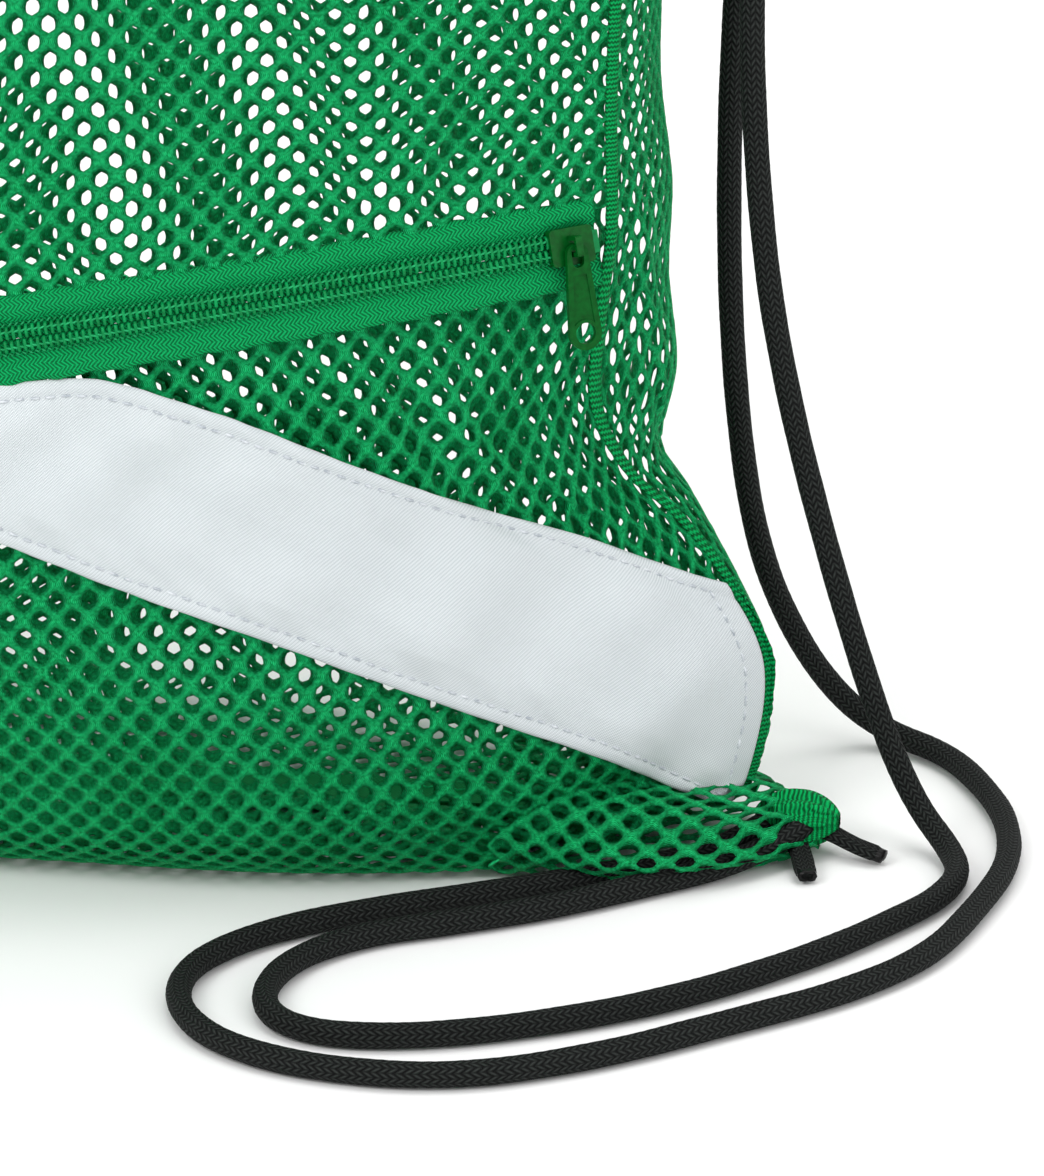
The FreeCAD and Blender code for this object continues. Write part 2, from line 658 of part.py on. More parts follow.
def cord_tails(side):
    """The two heat-sealed, flattened ends of a cord, past the gathered corner."""
    tails = []
    for start, end, turn in (
        (Vector(177.5, -11, 5.2), Vector(189.5, -14.5, 1.6), 12),
        (Vector(172, -14.5, 3.6), Vector(176, -27.5, 1.5), -8),
    ):
        way = end - start
        tail = Part.makeBox(way.Length, 4.6, 1.9, Vector(0, -2.3, -0.95))
        tail = tail.makeFillet(0.6, [e for e in tail.Edges if abs(e.tangentAt(0).x) > 0.9])
        tail.rotate(Vector(0, 0, 0), Vector(1, 0, 0), turn)
        tail.rotate(Vector(0, 0, 0), Vector(0, 1, 0), math.degrees(math.asin(-way.z / way.Length)))
        tail.rotate(Vector(0, 0, 0), Vector(0, 0, 1), math.degrees(math.atan2(way.y, way.x)))
        tail.translate(start)
        if side < 0:
            tail = tail.mirror(Vector(0, 0, 0), Vector(1, 0, 0))
        tails.append(tail)
    return Part.makeCompound(tails)


def build():
    os.makedirs("parts", exist_ok=True)
    shapes = {
        "front_mesh_upper": front_mesh_upper(),
        "pocket_mesh": pocket_mesh(),
        "pocket_backing_mesh": pocket_backing_mesh(),
        "back_mesh": back_mesh(),
        "side_seam_right": side_seam(1),
        "side_seam_left": side_seam(-1),
        "bottom_seam_binding": bottom_binding(),
        "corner_gather_right": corner_gather(1),
        "corner_gather_left": corner_gather(-1),
        "stripe": stripe(),
        "zipper_tape_upper": zipper_tape(1),
        "zipper_tape_lower": zipper_tape(-1),
        "zipper_coil_upper": zipper_coil(1),
        "zipper_coil_lower": zipper_coil(-1),
        "zipper_stop_right": zipper_stop(1),
        "zipper_stop_left": zipper_stop(-1),
        "slider_body": slider_body(),
        "slider_bail": slider_bail(),
        "pull_tab": pull_tab(),
        "hem_channel_front": hem_channel(-1),
        "hem_channel_back": hem_channel(1),
        "channel_bar_tacks": bar_tacks(),
        "drawcord_right": cord_tube("drawcord_right", cord_route(1), CORD_RADIUS),
        "drawcord_left": cord_tube("drawcord_left", cord_route(-1), CORD_RADIUS),
        "cord_tails_right": cord_tails(1),
        "cord_tails_left": cord_tails(-1),
    }
    for name, shape in shapes.items():
        shape.exportStep(f"parts/{name}.step")
        box = shape.BoundBox
        print(f"{name}: volume {shape.Volume:.1f}, valid {shape.isValid()}, "
              f"z {box.ZMin:.2f} to {box.ZMax:.2f}, x {box.XMin:.1f} to {box.XMax:.1f}")
    print("zipper axis", tuple(round(v, 5) for v in ZIP_NORMAL), "at", tuple(round(v, 3) for v in ZIP_CENTRE))
    print("pull axis", tuple(round(v, 5) for v in PULL_AXIS), "at", tuple(round(v, 3) for v in PULL_ORIGIN))


build()
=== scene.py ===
import math

import bpy
import numpy as np
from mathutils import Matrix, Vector


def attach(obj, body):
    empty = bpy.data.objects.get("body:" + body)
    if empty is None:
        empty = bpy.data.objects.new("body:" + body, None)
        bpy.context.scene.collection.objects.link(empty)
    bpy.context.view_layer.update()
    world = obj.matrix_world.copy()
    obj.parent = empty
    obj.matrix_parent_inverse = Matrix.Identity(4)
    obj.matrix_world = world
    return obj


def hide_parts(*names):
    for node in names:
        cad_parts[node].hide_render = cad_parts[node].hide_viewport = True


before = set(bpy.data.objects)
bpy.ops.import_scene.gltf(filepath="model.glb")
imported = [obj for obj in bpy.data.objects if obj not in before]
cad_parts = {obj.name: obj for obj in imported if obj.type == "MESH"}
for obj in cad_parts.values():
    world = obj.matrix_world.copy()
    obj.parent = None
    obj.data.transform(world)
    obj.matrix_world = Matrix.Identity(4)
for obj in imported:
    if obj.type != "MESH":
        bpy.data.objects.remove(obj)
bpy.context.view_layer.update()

# Lengths are in millimetres up to the point where a mesh is made, which turns them into metres.
MM = 0.001
TURN = 2 * math.pi
SIDES = ((1, "right"), (-1, "left"))


def add_object(name, data):
    made = bpy.data.objects.new(name, data)
    bpy.context.collection.objects.link(made)
    return made


def aim_at(made, place, target):
    """Puts a camera or a light at a place, turned to the target."""
    made.location = place
    made.rotation_euler = (Vector(target) - Vector(place)).to_track_quat("-Z", "Y").to_euler()


def lengths_along(line):
    """The length so far at each point of a line."""
    return np.concatenate([[0], np.cumsum(np.linalg.norm(np.diff(line, axis=0), axis=1))])


def arc_radius(half, bow):
    """The radius of an arc from half its chord and its height."""
    return (half ** 2 + bow ** 2) / (2 * bow)


# ---- Camera ----
CAMERA_AT = Vector((359.37, -1393.18, 563.69)) * MM
CAMERA_AIM = Vector((114.61, -5.06, 50.66)) * MM
CAMERA_LENS = 229.6


def make_camera():
    data = bpy.data.cameras.new("camera")
    data.lens = CAMERA_LENS
    data.sensor_width = 36
    camera = add_object("camera", data)
    aim_at(camera, CAMERA_AT, CAMERA_AIM)
    bpy.context.scene.camera = camera


make_camera()


# ---- Materials ----
def linear(red, green, blue):
    """A colour given in sRGB from 0 to 255, as the shader wants it."""
    values = []
    for channel in (red, green, blue):
        c = channel / 255
        values.append(c / 12.92 if c <= 0.04045 else ((c + 0.055) / 1.055) ** 2.4)
    return (*values, 1)


class Shader:
    """A new material, with short ways to add nodes to it."""

    def __init__(self, name, roughness, **constants):
        self.material = bpy.data.materials.new(name)
        self.material.use_nodes = True
        self.tree = self.material.node_tree
        self.surface = self.tree.nodes["Principled BSDF"]
        self.surface.inputs["Roughness"].default_value = roughness
        for key, value in constants.items():
            self.surface.inputs[key.replace("_", " ")].default_value = value

    def node(self, kind, inputs=(), **settings):
        made = self.tree.nodes.new(kind)
        for key, value in settings.items():
            setattr(made, key, value)
        for key, value in dict(inputs).items():
            self.set(made.inputs[key], value)
        return made

    def set(self, socket, value):
        if isinstance(value, bpy.types.NodeSocket):
            self.tree.links.new(value, socket)
        else:
            socket.default_value = value

    def math(self, operation, a, b=0.0):
        return self.node("ShaderNodeMath", {0: a, 1: b}, operation=operation).outputs[0]

    def add(self, a, b):
        return self.math("ADD", a, b)

    def times(self, a, b):
        return self.math("MULTIPLY", a, b)

    def flat_axes(self, uv_map):
        """The two coordinates of a UV map, in millimetres of cloth."""
        uv = self.node("ShaderNodeUVMap", uv_map=uv_map).outputs[0]
        split = self.node("ShaderNodeSeparateXYZ", {0: uv})
        return split.outputs[0], split.outputs[1], uv

    def wave(self, value, period):
        """From 0 to 1 and back once in each period."""
        turn = self.times(value, TURN / period)
        return self.add(self.times(self.math("SINE", turn), 0.5), 0.5)

    def noise(self, vector, scale, detail=2.0):
        return self.node(
            "ShaderNodeTexNoise", {"Vector": vector, "Scale": scale, "Detail": detail}
        ).outputs[0]

    def ramp(self, value, colours):
        """Blends from colour to colour at the given positions."""
        made = self.node("ShaderNodeValToRGB", {0: value})
        elements = made.color_ramp.elements
        while len(elements) < len(colours):
            elements.new(0.5)
        for element, (position, colour) in zip(elements, colours):
            element.position = position
            element.color = colour
        return made.outputs[0]

    def colour(self, value):
        self.set(self.surface.inputs["Base Color"], value)

    def bump(self, height, distance, strength=1.0):
        made = self.node(
            "ShaderNodeBump", {"Height": height, "Distance": distance * MM, "Strength": strength}
        )
        self.set(self.surface.inputs["Normal"], made.outputs[0])


THREAD_PITCH = 0.42
ZIGZAG_PITCH = 1.05
ZIGZAG_DEPTH = 0.22


def knit_material(name, dark, middle, light):
    """Shiny filament knit: threads run round each hole, with a zigzag stitch across them."""
    s = Shader(name, 0.5, Specular_IOR_Level=0.08)
    around, across, _ = s.flat_axes("strand")
    _, _, cloth = s.flat_axes("fabric")
    zigzag = s.times(s.wave(around, ZIGZAG_PITCH), ZIGZAG_DEPTH)
    threads = s.wave(s.add(across, zigzag), THREAD_PITCH)
    fleck_glints_and_bumps = s.noise(cloth, 1.6, 1.0)
    broad = s.noise(cloth, 0.05, 2.0)
    # Painted highlights: the tone lightens on the thread crests and on the flecks, standing in for glints
    # of the shiny filament; the flecks also feed the bump, and the broad noise is random tone.
    lit = s.add(s.times(threads, 0.45), s.times(fleck_glints_and_bumps, 0.8))
    lit = s.add(lit, s.times(broad, 0.25))
    s.colour(s.ramp(lit, [(0.42, dark), (0.72, middle), (1.0, light)]))
    s.bump(s.add(threads, s.times(fleck_glints_and_bumps, 0.6)), 0.22)
    return s.material


def woven_material(name, dark, light, pitch, depth, pucker=0.0):
    """Plain weave: the threads of both directions, seen as a fine checker of small bumps."""
    s = Shader(name, 0.7, Specular_IOR_Level=0.1)
    u, v, cloth = s.flat_axes("fabric")
    checker = s.times(s.wave(u, pitch), s.wave(v, pitch))
    other = s.times(s.wave(s.add(u, pitch / 2), pitch), s.wave(s.add(v, pitch / 2), pitch))
    weave = s.add(checker, other)
    broad = s.noise(cloth, 0.08, 3.0)
    tone = s.add(s.times(weave, 0.85), s.times(broad, 0.15))
    s.colour(s.ramp(tone, [(0.2, dark), (0.75, light)]))
    folds = s.times(s.noise(cloth, 0.045, 1.0), pucker / depth)
    s.bump(s.add(weave, folds), depth)
    return s.material


def twill_material(name, dark, light, pitch, band):
    """Zipper tape: a herringbone twill whose slant turns over at each band."""
    s = Shader(name, 0.65, Specular_IOR_Level=0.08)
    along, across, cloth = s.flat_axes("fabric")
    slant = s.math("PINGPONG", across, band)
    lines = s.wave(s.add(along, slant), pitch)
    grain = s.noise(cloth, 2.2, 2.0)
    tone = s.add(s.times(lines, 0.6), s.times(grain, 0.6))
    s.colour(s.ramp(tone, [(0.3, dark), (0.85, light)]))
    s.bump(s.add(lines, s.times(grain, 0.5)), 0.16)
    return s.material


def braid_material():
    """Matte cord: a herringbone of strands, in narrow columns round the cord."""
    s = Shader("cord_braid", 0.8, Specular_IOR_Level=0.15)
    along, around, cloth = s.flat_axes("fabric")
    columns = s.math("PINGPONG", s.times(around, 8.0), 0.5)
    rise = s.times(columns, 2.6)
    strands = s.wave(s.add(along, rise), 1.5)
    edges = s.math("SINE", s.times(columns, TURN))
    height = s.times(strands, s.add(s.times(edges, 0.7), 0.3))
    grain = s.noise(cloth, 3.0, 2.0)
    # The tone follows the braid's height: the strands' crowns are painted light as highlights and the
    # grooves painted dark as shade; the grain is the cord's own uneven tone.
    tone = s.add(s.times(height, 0.7), s.times(grain, 0.3))
    s.colour(s.ramp(tone, [(0.15, linear(2, 3, 3)), (0.85, linear(52, 56, 54))]))
    s.bump(height, 0.45)
    return s.material


def painted_material():
    s = Shader("slider_enamel", 0.28, Specular_IOR_Level=0.12)
    place = s.node("ShaderNodeTexCoord").outputs["Object"]
    speckle = s.noise(place, 900.0, 3.0)
    s.colour(s.ramp(speckle, [(0.3, linear(0, 70, 18)), (0.7, linear(0, 90, 28))]))
    s.bump(s.noise(place, 500.0, 2.0), 0.02)
    return s.material


def plastic_material(name, dark, light, rough=0.42):
    s = Shader(name, rough, Specular_IOR_Level=0.15)
    place = s.node("ShaderNodeTexCoord").outputs["Object"]
    grain = s.noise(place, 700.0, 3.0)
    s.colour(s.ramp(grain, [(0.3, dark), (0.7, light)]))
    s.bump(grain, 0.05)
    return s.material


# The knit's lightest green is painted highlight, standing in for the glints of the shiny filament.
GREEN_DARK = linear(0, 104, 48)
GREEN = linear(0, 176, 92)
GREEN_GLINT = linear(44, 222, 140)
MATERIALS = {
    "mesh": knit_material("mesh_knit", GREEN_DARK, GREEN, GREEN_GLINT),
    "stripe_cloth": woven_material(
        "stripe_weave", linear(180, 188, 192), linear(220, 225, 227), 0.62, 0.05, pucker=2.5
    ),
    "seam_tape": woven_material("seam_weave", GREEN_DARK, linear(6, 150, 82), 0.8, 0.12),
    "zip_tape": twill_material("zipper_twill", linear(0, 92, 46), linear(8, 166, 92), 0.85, 1.15),
    "zip_coil": plastic_material("zipper_nylon", linear(0, 110, 54), linear(4, 150, 82)),
    "slider_paint": painted_material(),
    "cord": braid_material(),
    "cord_end": plastic_material("cord_end_melted", linear(4, 4, 4), linear(24, 24, 24), 0.3),
    "thread": plastic_material("thread_green", linear(6, 122, 66), linear(40, 172, 108), 0.55),
    "white_thread": plastic_material("thread_white", linear(160, 168, 176), linear(222, 226, 230), 0.6),
}


# ---- Making pieces ----
def make_piece(name, points, faces, slot, maps, material=None):
    """A mesh piece from points in millimetres; maps are UV maps with one pair for each face corner."""
    data = bpy.data.meshes.new(name)
    data.from_pydata((np.asarray(points) * MM).tolist(), [], faces)
    for map_name, corners in maps.items():
        layer = data.uv_layers.new(name=map_name)
        layer.data.foreach_set("uv", np.asarray(corners, dtype=float).ravel())
    data.polygons.foreach_set("use_smooth", np.ones(len(data.polygons), dtype=bool))
    data.materials.append(MATERIALS[material or slot])
    piece = add_object(name, data)
    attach(piece, "bag")
    return piece


def grid_faces(rows, columns, wrap=False):
    """Quads over rows of points; wrap joins each row's last column to its first."""
    quads = []
    last = columns if wrap else columns - 1
    for i in range(rows - 1):
        for j in range(last):
            k = (j + 1) % columns
            quads.append((i * columns + j, i * columns + k, (i + 1) * columns + k, (i + 1) * columns + j))
    return quads


def grid_corners(flat, rows, columns, wrap=0.0):
    """A UV pair for each corner of grid_faces; wrap is the width that a joined row comes back at."""
    corners = []
    last = columns if wrap else columns - 1
    for i in range(rows - 1):
        for j in range(last):
            for row, column in ((i, j), (i, j + 1), (i + 1, j + 1), (i + 1, j)):
                u, v = flat[row * columns + column % columns]
                corners.append((u, v + (wrap if column == columns else 0)))
    return corners


def reverse_each(corners, faces):
    """The corners' UV pairs in the order they have once every face is reversed."""
    turned, start = [], 0
    for face in faces:
        turned += corners[start:start + len(face)][::-1]
        start += len(face)
    return turned


def cloth_piece(name, points, flat, shape, thickness, slot, **settings):
    """A sheet with two sides and a rim, from a grid of points on its outer side."""
    rows, columns = shape
    outer = np.asarray(points, dtype=float).reshape(rows, columns, 3)
    down = np.gradient(outer, axis=0)
    along = np.gradient(outer, axis=1)
    normal = np.cross(along, down)
    normal /= np.linalg.norm(normal, axis=2, keepdims=True) + 1e-9
    inner = outer - normal * thickness
    faces = grid_faces(rows, columns)
    corners = grid_corners(flat, rows, columns)
    back = [tuple(n + rows * columns for n in reversed(quad)) for quad in faces]
    back_corners = reverse_each(corners, faces)
    border = [(0, j) for j in range(columns)] + [(i, columns - 1) for i in range(1, rows)]
    border += [(rows - 1, j) for j in range(columns - 2, -1, -1)] + [(i, 0) for i in range(rows - 2, 0, -1)]
    rim, rim_corners = [], []
    for (i, j), (m, n) in zip(border, border[1:] + border[:1]):
        a, b = i * columns + j, m * columns + n
        rim.append((b, a, a + rows * columns, b + rows * columns))
        rim_corners += [flat[b], flat[a], flat[a], flat[b]]
    everything = np.concatenate([outer.reshape(-1, 3), inner.reshape(-1, 3)])
    return make_piece(
        name, everything, faces + back + rim, slot,
        {"fabric": corners + back_corners + rim_corners}, **settings,
    )


def swept_tube(name, line, radius, slot, sides, squeeze, material=None):
    """A tube round a line of points; squeeze(length so far, angle) scales the radius."""
    line = np.asarray(line, dtype=float)
    tangents = np.gradient(line, axis=0)
    tangents /= np.linalg.norm(tangents, axis=1, keepdims=True)
    side = np.cross(tangents[0], (0.0, 0.0, 1.0))
    if np.linalg.norm(side) < 0.1:
        side = np.cross(tangents[0], (1.0, 0.0, 0.0))
    lengths = lengths_along(line)
    angles = np.arange(sides) * TURN / sides
    points, flat = [], []
    for centre, tangent, length in zip(line, tangents, lengths):
        side = side - tangent * np.dot(side, tangent)
        side /= np.linalg.norm(side)
        up = np.cross(tangent, side)
        for angle in angles:
            size = radius * squeeze(length, angle)
            points.append(centre + size * (math.cos(angle) * side + math.sin(angle) * up))
            flat.append((length, angle / TURN))
    faces = grid_faces(len(line), sides, wrap=True)
    corners = grid_corners(flat, len(line), sides, wrap=1.0)
    for start, outward in ((0, False), ((len(line) - 1) * sides, True)):
        cap = [start + k for k in range(sides)]
        faces.append(tuple(cap if outward else reversed(cap)))
        corners += [flat[n] for n in (cap if outward else reversed(cap))]
    return make_piece(name, points, faces, slot, {"fabric": corners}, material)


# ---- Drawcords ----
CORD_RADIUS = 2.5
CORD_FLOOR = 2.6
CHANNEL_HALF_WIDTH = 158.0
CHANNEL_BOTTOM = 392.0
CHANNEL_HEIGHT = 19.0
CHANNEL_DEPTH = 9.0
CHANNEL_MIDDLE = CHANNEL_BOTTOM + CHANNEL_HEIGHT / 2
CORD_STEP = 3.3
MOUTH_DEPTH = 34.0
MOUTH_SEAM = 17.0


def on_floor(places):
    """Route points where the cord lies on the floor."""
    return [(x, y, CORD_FLOOR) for x, y in places]


FLOOR_A = [(168, -9, 7.5), (161, -16.5, 4.2)] + on_floor([
    (151, -25), (137, -35), (118, -47.5), (100, -58), (84, -69), (72, -81.5), (65, -97), (67, -114.5),
    (78, -130), (98, -139), (125, -139), (150, -124.5), (172, -104), (191, -86.5), (205, -66),
    (211, -41), (215, -16), (212, 7), (204, 27), (195, 42),
])
RISE_A = [
    (183, 49.5, 3.2), (173, 50.5, 9), (164, 44, 24), (156.5, 35, 47), (153, 27, 78), (151.5, 21.5, 118),
    (152.5, 19.5, 166), (157, 18.5, 220), (164, 19, 274), (172.5, 21, 322), (178.5, 23, 360),
]
MOUTH_OUT = [
    (180.5, 23.8, -23), (178, 23, -9.5), (169.5, 20.5, -1), (159, 17.4, 0),
    (144, 19.9, 0), (118, 25.0, 0), (80, 30.2, 0), (40, 33.2, 0),
]
FAR_TURN = [(-168.6, 15.9, 0), (-175.9, 9.4, 0), (-178.6, 0, 0)]
FALL_B = [
    (178.5, -22.5, 360), (173.5, -19, 322), (167.5, -14, 274), (162, -10, 222),
    (159.5, -7.5, 172), (162.5, -6, 124), (168, -4, 92), (176, -2, 60), (183.5, 0, 34),
    (189, -0.5, 19), (195, -3, 8), (202, -10, 2.8),
]
FLOOR_B = on_floor([
    (206, -23), (203, -37), (195.5, -50), (187, -63.5), (176, -77.5), (162, -92.5), (145, -106),
    (121.5, -119), (101, -123.5), (88.5, -119.5), (82.5, -109), (82.5, -95.5), (87.5, -83),
    (97.5, -72.5), (113, -64), (130, -53), (143.5, -41), (156, -30.5),
]) + [(166, -22, 4.2), (173.5, -13.5, 7)]


def cord_route(side):
    """The whole route of one cord; the left cord is the right one's mirror, lower in the channel."""
    level = CHANNEL_MIDDLE + side * CORD_STEP
    mouth = [(x, y, level + z) for x, y, z in MOUTH_OUT]
    mouth_back = [(-x, y, z) for x, y, z in reversed(mouth[3:])]
    turn = [(x, y, level + z) for x, y, z in FAR_TURN]
    half = mouth + [(0, MOUTH_DEPTH, level)] + mouth_back + turn
    other_half = [(x, -y, z) for x, y, z in reversed(half[:-1])]
    route = FLOOR_A + RISE_A + half + other_half + FALL_B + FLOOR_B
    return [(side * x, y, z) for x, y, z in route]


def nurbs_line(name, route):
    """Points along the smooth curve that has the route as its control points."""
    data = bpy.data.curves.new(name, "CURVE")
    data.dimensions = "3D"
    data.resolution_u = 12
    spline = data.splines.new("NURBS")
    spline.points.add(len(route) - 1)
    for point, (x, y, z) in zip(spline.points, route):
        point.co = (x * MM, y * MM, z * MM, 1)
    spline.order_u = 3
    spline.use_endpoint_u = True
    holder = add_object(name, data)
    mesh = bpy.data.meshes.new_from_object(holder)
    line = np.array([vertex.co for vertex in mesh.vertices]) / MM
    bpy.data.objects.remove(holder)
    return line


def even_line(line, step):
    """The same line with its points a step apart."""
    lengths = lengths_along(line)
    wanted = np.linspace(0, lengths[-1], int(lengths[-1] / step) + 1)
    return np.stack([np.interp(wanted, lengths, line[:, k]) for k in range(3)], axis=1)


def strand_relief(length, angle):
    """The braid's own slight unevenness."""
    return 1 + 0.012 * math.sin(8 * angle + length * 2.1) + 0.01 * math.sin(length * 0.31)


TAIL_PATHS = {
    "long": [(172, -10, 6.6), (177.5, -11, 5.2), (183, -12.6, 3.2), (189.5, -14.5, 1.7)],
    "short": [(168.5, -10, 5), (172, -14.5, 3.6), (174.2, -21, 2.2), (176, -27.5, 1.7)],
}


def make_tail(side, side_name, kind, path):
    """The end of a cord past its gather, pressed flat and melted at the tip."""
    line = even_line(nurbs_line("tail_line", [(side * x, y, z) for x, y, z in path]), 0.5)
    total = np.linalg.norm(np.diff(line, axis=0), axis=1).sum()

    def squeeze(length, angle):
        share = length / total
        flat = 1 - 0.52 * min(1.0, share * 2.2)
        wide = 1 - 0.06 * share
        ragged = 1 + 0.07 * math.sin(3 * angle + 9 * share) * share
        tip = 1 - 0.45 * max(0.0, share - 0.9) / 0.1
        return ragged * tip * math.hypot(wide * math.cos(angle), flat * math.sin(angle))

    piece = swept_tube(f"cord_tail_{kind}_{side_name}", line, CORD_RADIUS * 0.96, "cord_end", 14, squeeze,
                       material="cord")
    tip_line = line[-5:]
    tip = swept_tube(f"cord_tip_{kind}_{side_name}", tip_line, CORD_RADIUS * 0.66, "cord_end", 12,
                     lambda length, angle: 1.2 * math.hypot(math.cos(angle), 0.5 * math.sin(angle)))
    return [piece, tip]


def make_cords():
    for side, side_name in SIDES:
        route = cord_route(side)
        line = even_line(nurbs_line("route", route), 1.25)
        piece = swept_tube(f"drawcord_{side_name}_braid", line, CORD_RADIUS, "cord", 16, strand_relief)
        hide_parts(f"drawcord_{side_name}")
        tails = []
        for kind, path in TAIL_PATHS.items():
            tails += make_tail(side, side_name, kind, path)
        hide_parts(f"cord_tails_{side_name}")


make_cords()

# ---- The bag's surface, as in the CAD model ----
# u, height, front depth, seam half width, seam y, side half width, back depth, tilt x, tilt y, fullness
STATIONS = np.array([
    (0, 0.85, 5.6, 150, 5.6, 150.3, 8.5, 0, 0, 1.0),
    (34, 0.85, 40, 157, 9, 157.5, 40, 0, 0, 1.0),
    (52, 8, 54, 162, 5, 162.4, 54, 0, 0, 1.0),
    (78, 30, 66, 164.5, 0.5, 164.9, 65, 0.02, 0, 0.8),
    (96, 47.5, 71.5, 157.3, 2.5, 158, 69.5, 0.045, -0.02, 0.62),
    (110, 61, 74, 147.5, 7, 149, 72, 0.075, -0.05, 0.45),
    (120, 70.5, 75.2, 138.5, 13, 141.5, 73.5, 0.1, -0.08, 0.3),
    (134, 83.5, 76, 133, 21, 143.5, 75, 0.14, -0.12, 0.15),
    (150, 99, 75.3, 135, 27, 141, 75, 0.175, -0.165, 0.05),
    (166, 114.5, 74, 138, 30, 141.5, 75, 0.2, -0.2, 0),
    (200, 148.5, 71.5, 137, 28, 140.5, 73, 0.13, -0.13, 0),
    (240, 188.5, 68, 138, 25, 142, 69, 0.06, -0.06, 0),
    (300, 249.5, 60, 144, 20, 148, 60, 0.02, -0.02, 0),
    (360, 310, 49, 150, 17.5, 155, 49, 0, 0, 0),
    (410, 360, 40, 155, 17, 161, 40, 0, 0, 0),
    (441, 390.8, 34, 158, 17, 164, 34, 0, 0, 0),
])
FULL_POWER = 3.5
ZIP_U = 166.0
TOP_U = 441.0
TAPE_HALF = 7.6
FLAT_HALF_LENGTH = 105.0
RISE_RADIUS = 130.6
RISE_END = 150.0
RISE_FADES_BY = 100
RISE_FADE_SPAN = 60


def smooth_values(table, place):
    """The table's other columns at places in its first one, on a smooth curve through its rows."""
    i = np.clip(np.searchsorted(table[:, 0], place, side="left") - 1, 0, len(table) - 2)
    before, after = table[i], table[i + 1]
    earlier = table[np.maximum(i - 1, 0)]
    later = table[np.minimum(i + 2, len(table) - 1)]
    span = after[:, :1] - before[:, :1]
    t = (place[:, None] - before[:, :1]) / span
    slope_0 = (after - earlier) / (after[:, :1] - earlier[:, :1]) * span
    slope_1 = (later - before) / (later[:, :1] - before[:, :1]) * span
    values = (
        before * (2 * t ** 3 - 3 * t ** 2 + 1)
        + slope_0 * (t ** 3 - 2 * t ** 2 + t)
        + after * (3 * t ** 2 - 2 * t ** 3)
        + slope_1 * (t ** 3 - t ** 2)
    )
    return values[:, 1:].T


def station(u):
    """Each section's values at u."""
    return smooth_values(STATIONS, np.clip(u, 0, TOP_U))


def rise(x, u):
    """How far the bottom is off the floor near its corners; this fades out up the bag."""
    over = np.clip(np.abs(x) - FLAT_HALF_LENGTH, 0, RISE_END - FLAT_HALF_LENGTH)
    fade = np.clip((RISE_FADES_BY - u) / RISE_FADE_SPAN, 0, 1)
    return (RISE_RADIUS - np.sqrt(RISE_RADIUS ** 2 - over ** 2)) * fade


def unit(vectors):
    return vectors / (np.linalg.norm(vectors, axis=-1, keepdims=True) + 1e-12)


def section_axes(tilt_x, tilt_y):
    one, zero = np.ones_like(tilt_x), np.zeros_like(tilt_x)
    along = unit(np.stack([one, zero, tilt_x], axis=-1))
    normal = unit(np.stack([-tilt_x, -tilt_y, one], axis=-1))
    return along, unit(np.cross(along, normal)), normal


def front_base(s, u):
    height, depth, half, seam, _, _, tilt_x, tilt_y, full = station(u)
    along, out, _ = section_axes(tilt_x, tilt_y)
    bow = np.maximum(depth - seam, 0.01)
    radius = arc_radius(half, bow)
    angle = s * np.arcsin(half / radius)
    across = radius * np.sin(angle)
    back = radius * (1 - np.cos(angle))
    back = back + full * (bow * np.abs(across / half) ** FULL_POWER - back)
    middle = np.stack([np.zeros_like(depth), -depth, height], axis=-1)
    return middle + along * across[:, None] - out * back[:, None]


def front_point(s, u):
    """The front's outer side: s is -1 at the left seam and 1 at the right."""
    points = front_base(s, u)
    points[:, 2] += rise(points[:, 0], u)
    return points


def back_point(t, u):
    """The back's outer side: t is 0 at the right seam and 1 at the left."""
    right = front_base(np.ones_like(u), u)
    left = front_base(-np.ones_like(u), u)
    _, _, _, _, side, depth, _, _, full = station(u)
    middle = (right[:, 0] + left[:, 0]) / 2
    half = (right[:, 0] - left[:, 0]) / 2
    start = -np.arccos(np.minimum(half / side, 1))
    angle = start + t * (math.pi - 2 * start)
    x = middle + side * np.cos(angle)
    below = right[:, 1] * np.sin(angle) / np.minimum(np.sin(start), -1e-9)
    full_y = 1 - np.abs(np.cos(angle)) ** FULL_POWER
    above = depth * ((1 - full) * np.sin(angle) + full * full_y)
    y = np.where(np.sin(angle) < 0, below, above)
    share = (x - left[:, 0]) / (right[:, 0] - left[:, 0])
    z = left[:, 2] + (right[:, 2] - left[:, 2]) * share
    return np.stack([x, y, z + rise(x, u)], axis=-1)


def normals_of(surface, a, b, a_span, b_span):
    """Outward normals of surface(a, b), from points a little to each side."""
    a_step, b_step = (a_span[1] - a_span[0]) * 0.002, (b_span[1] - b_span[0]) * 0.002
    along = surface(np.minimum(a + a_step, a_span[1]), b) - surface(np.maximum(a - a_step, a_span[0]), b)
    up = surface(a, np.minimum(b + b_step, b_span[1])) - surface(a, np.maximum(b - b_step, b_span[0]))
    return unit(np.cross(along, up))


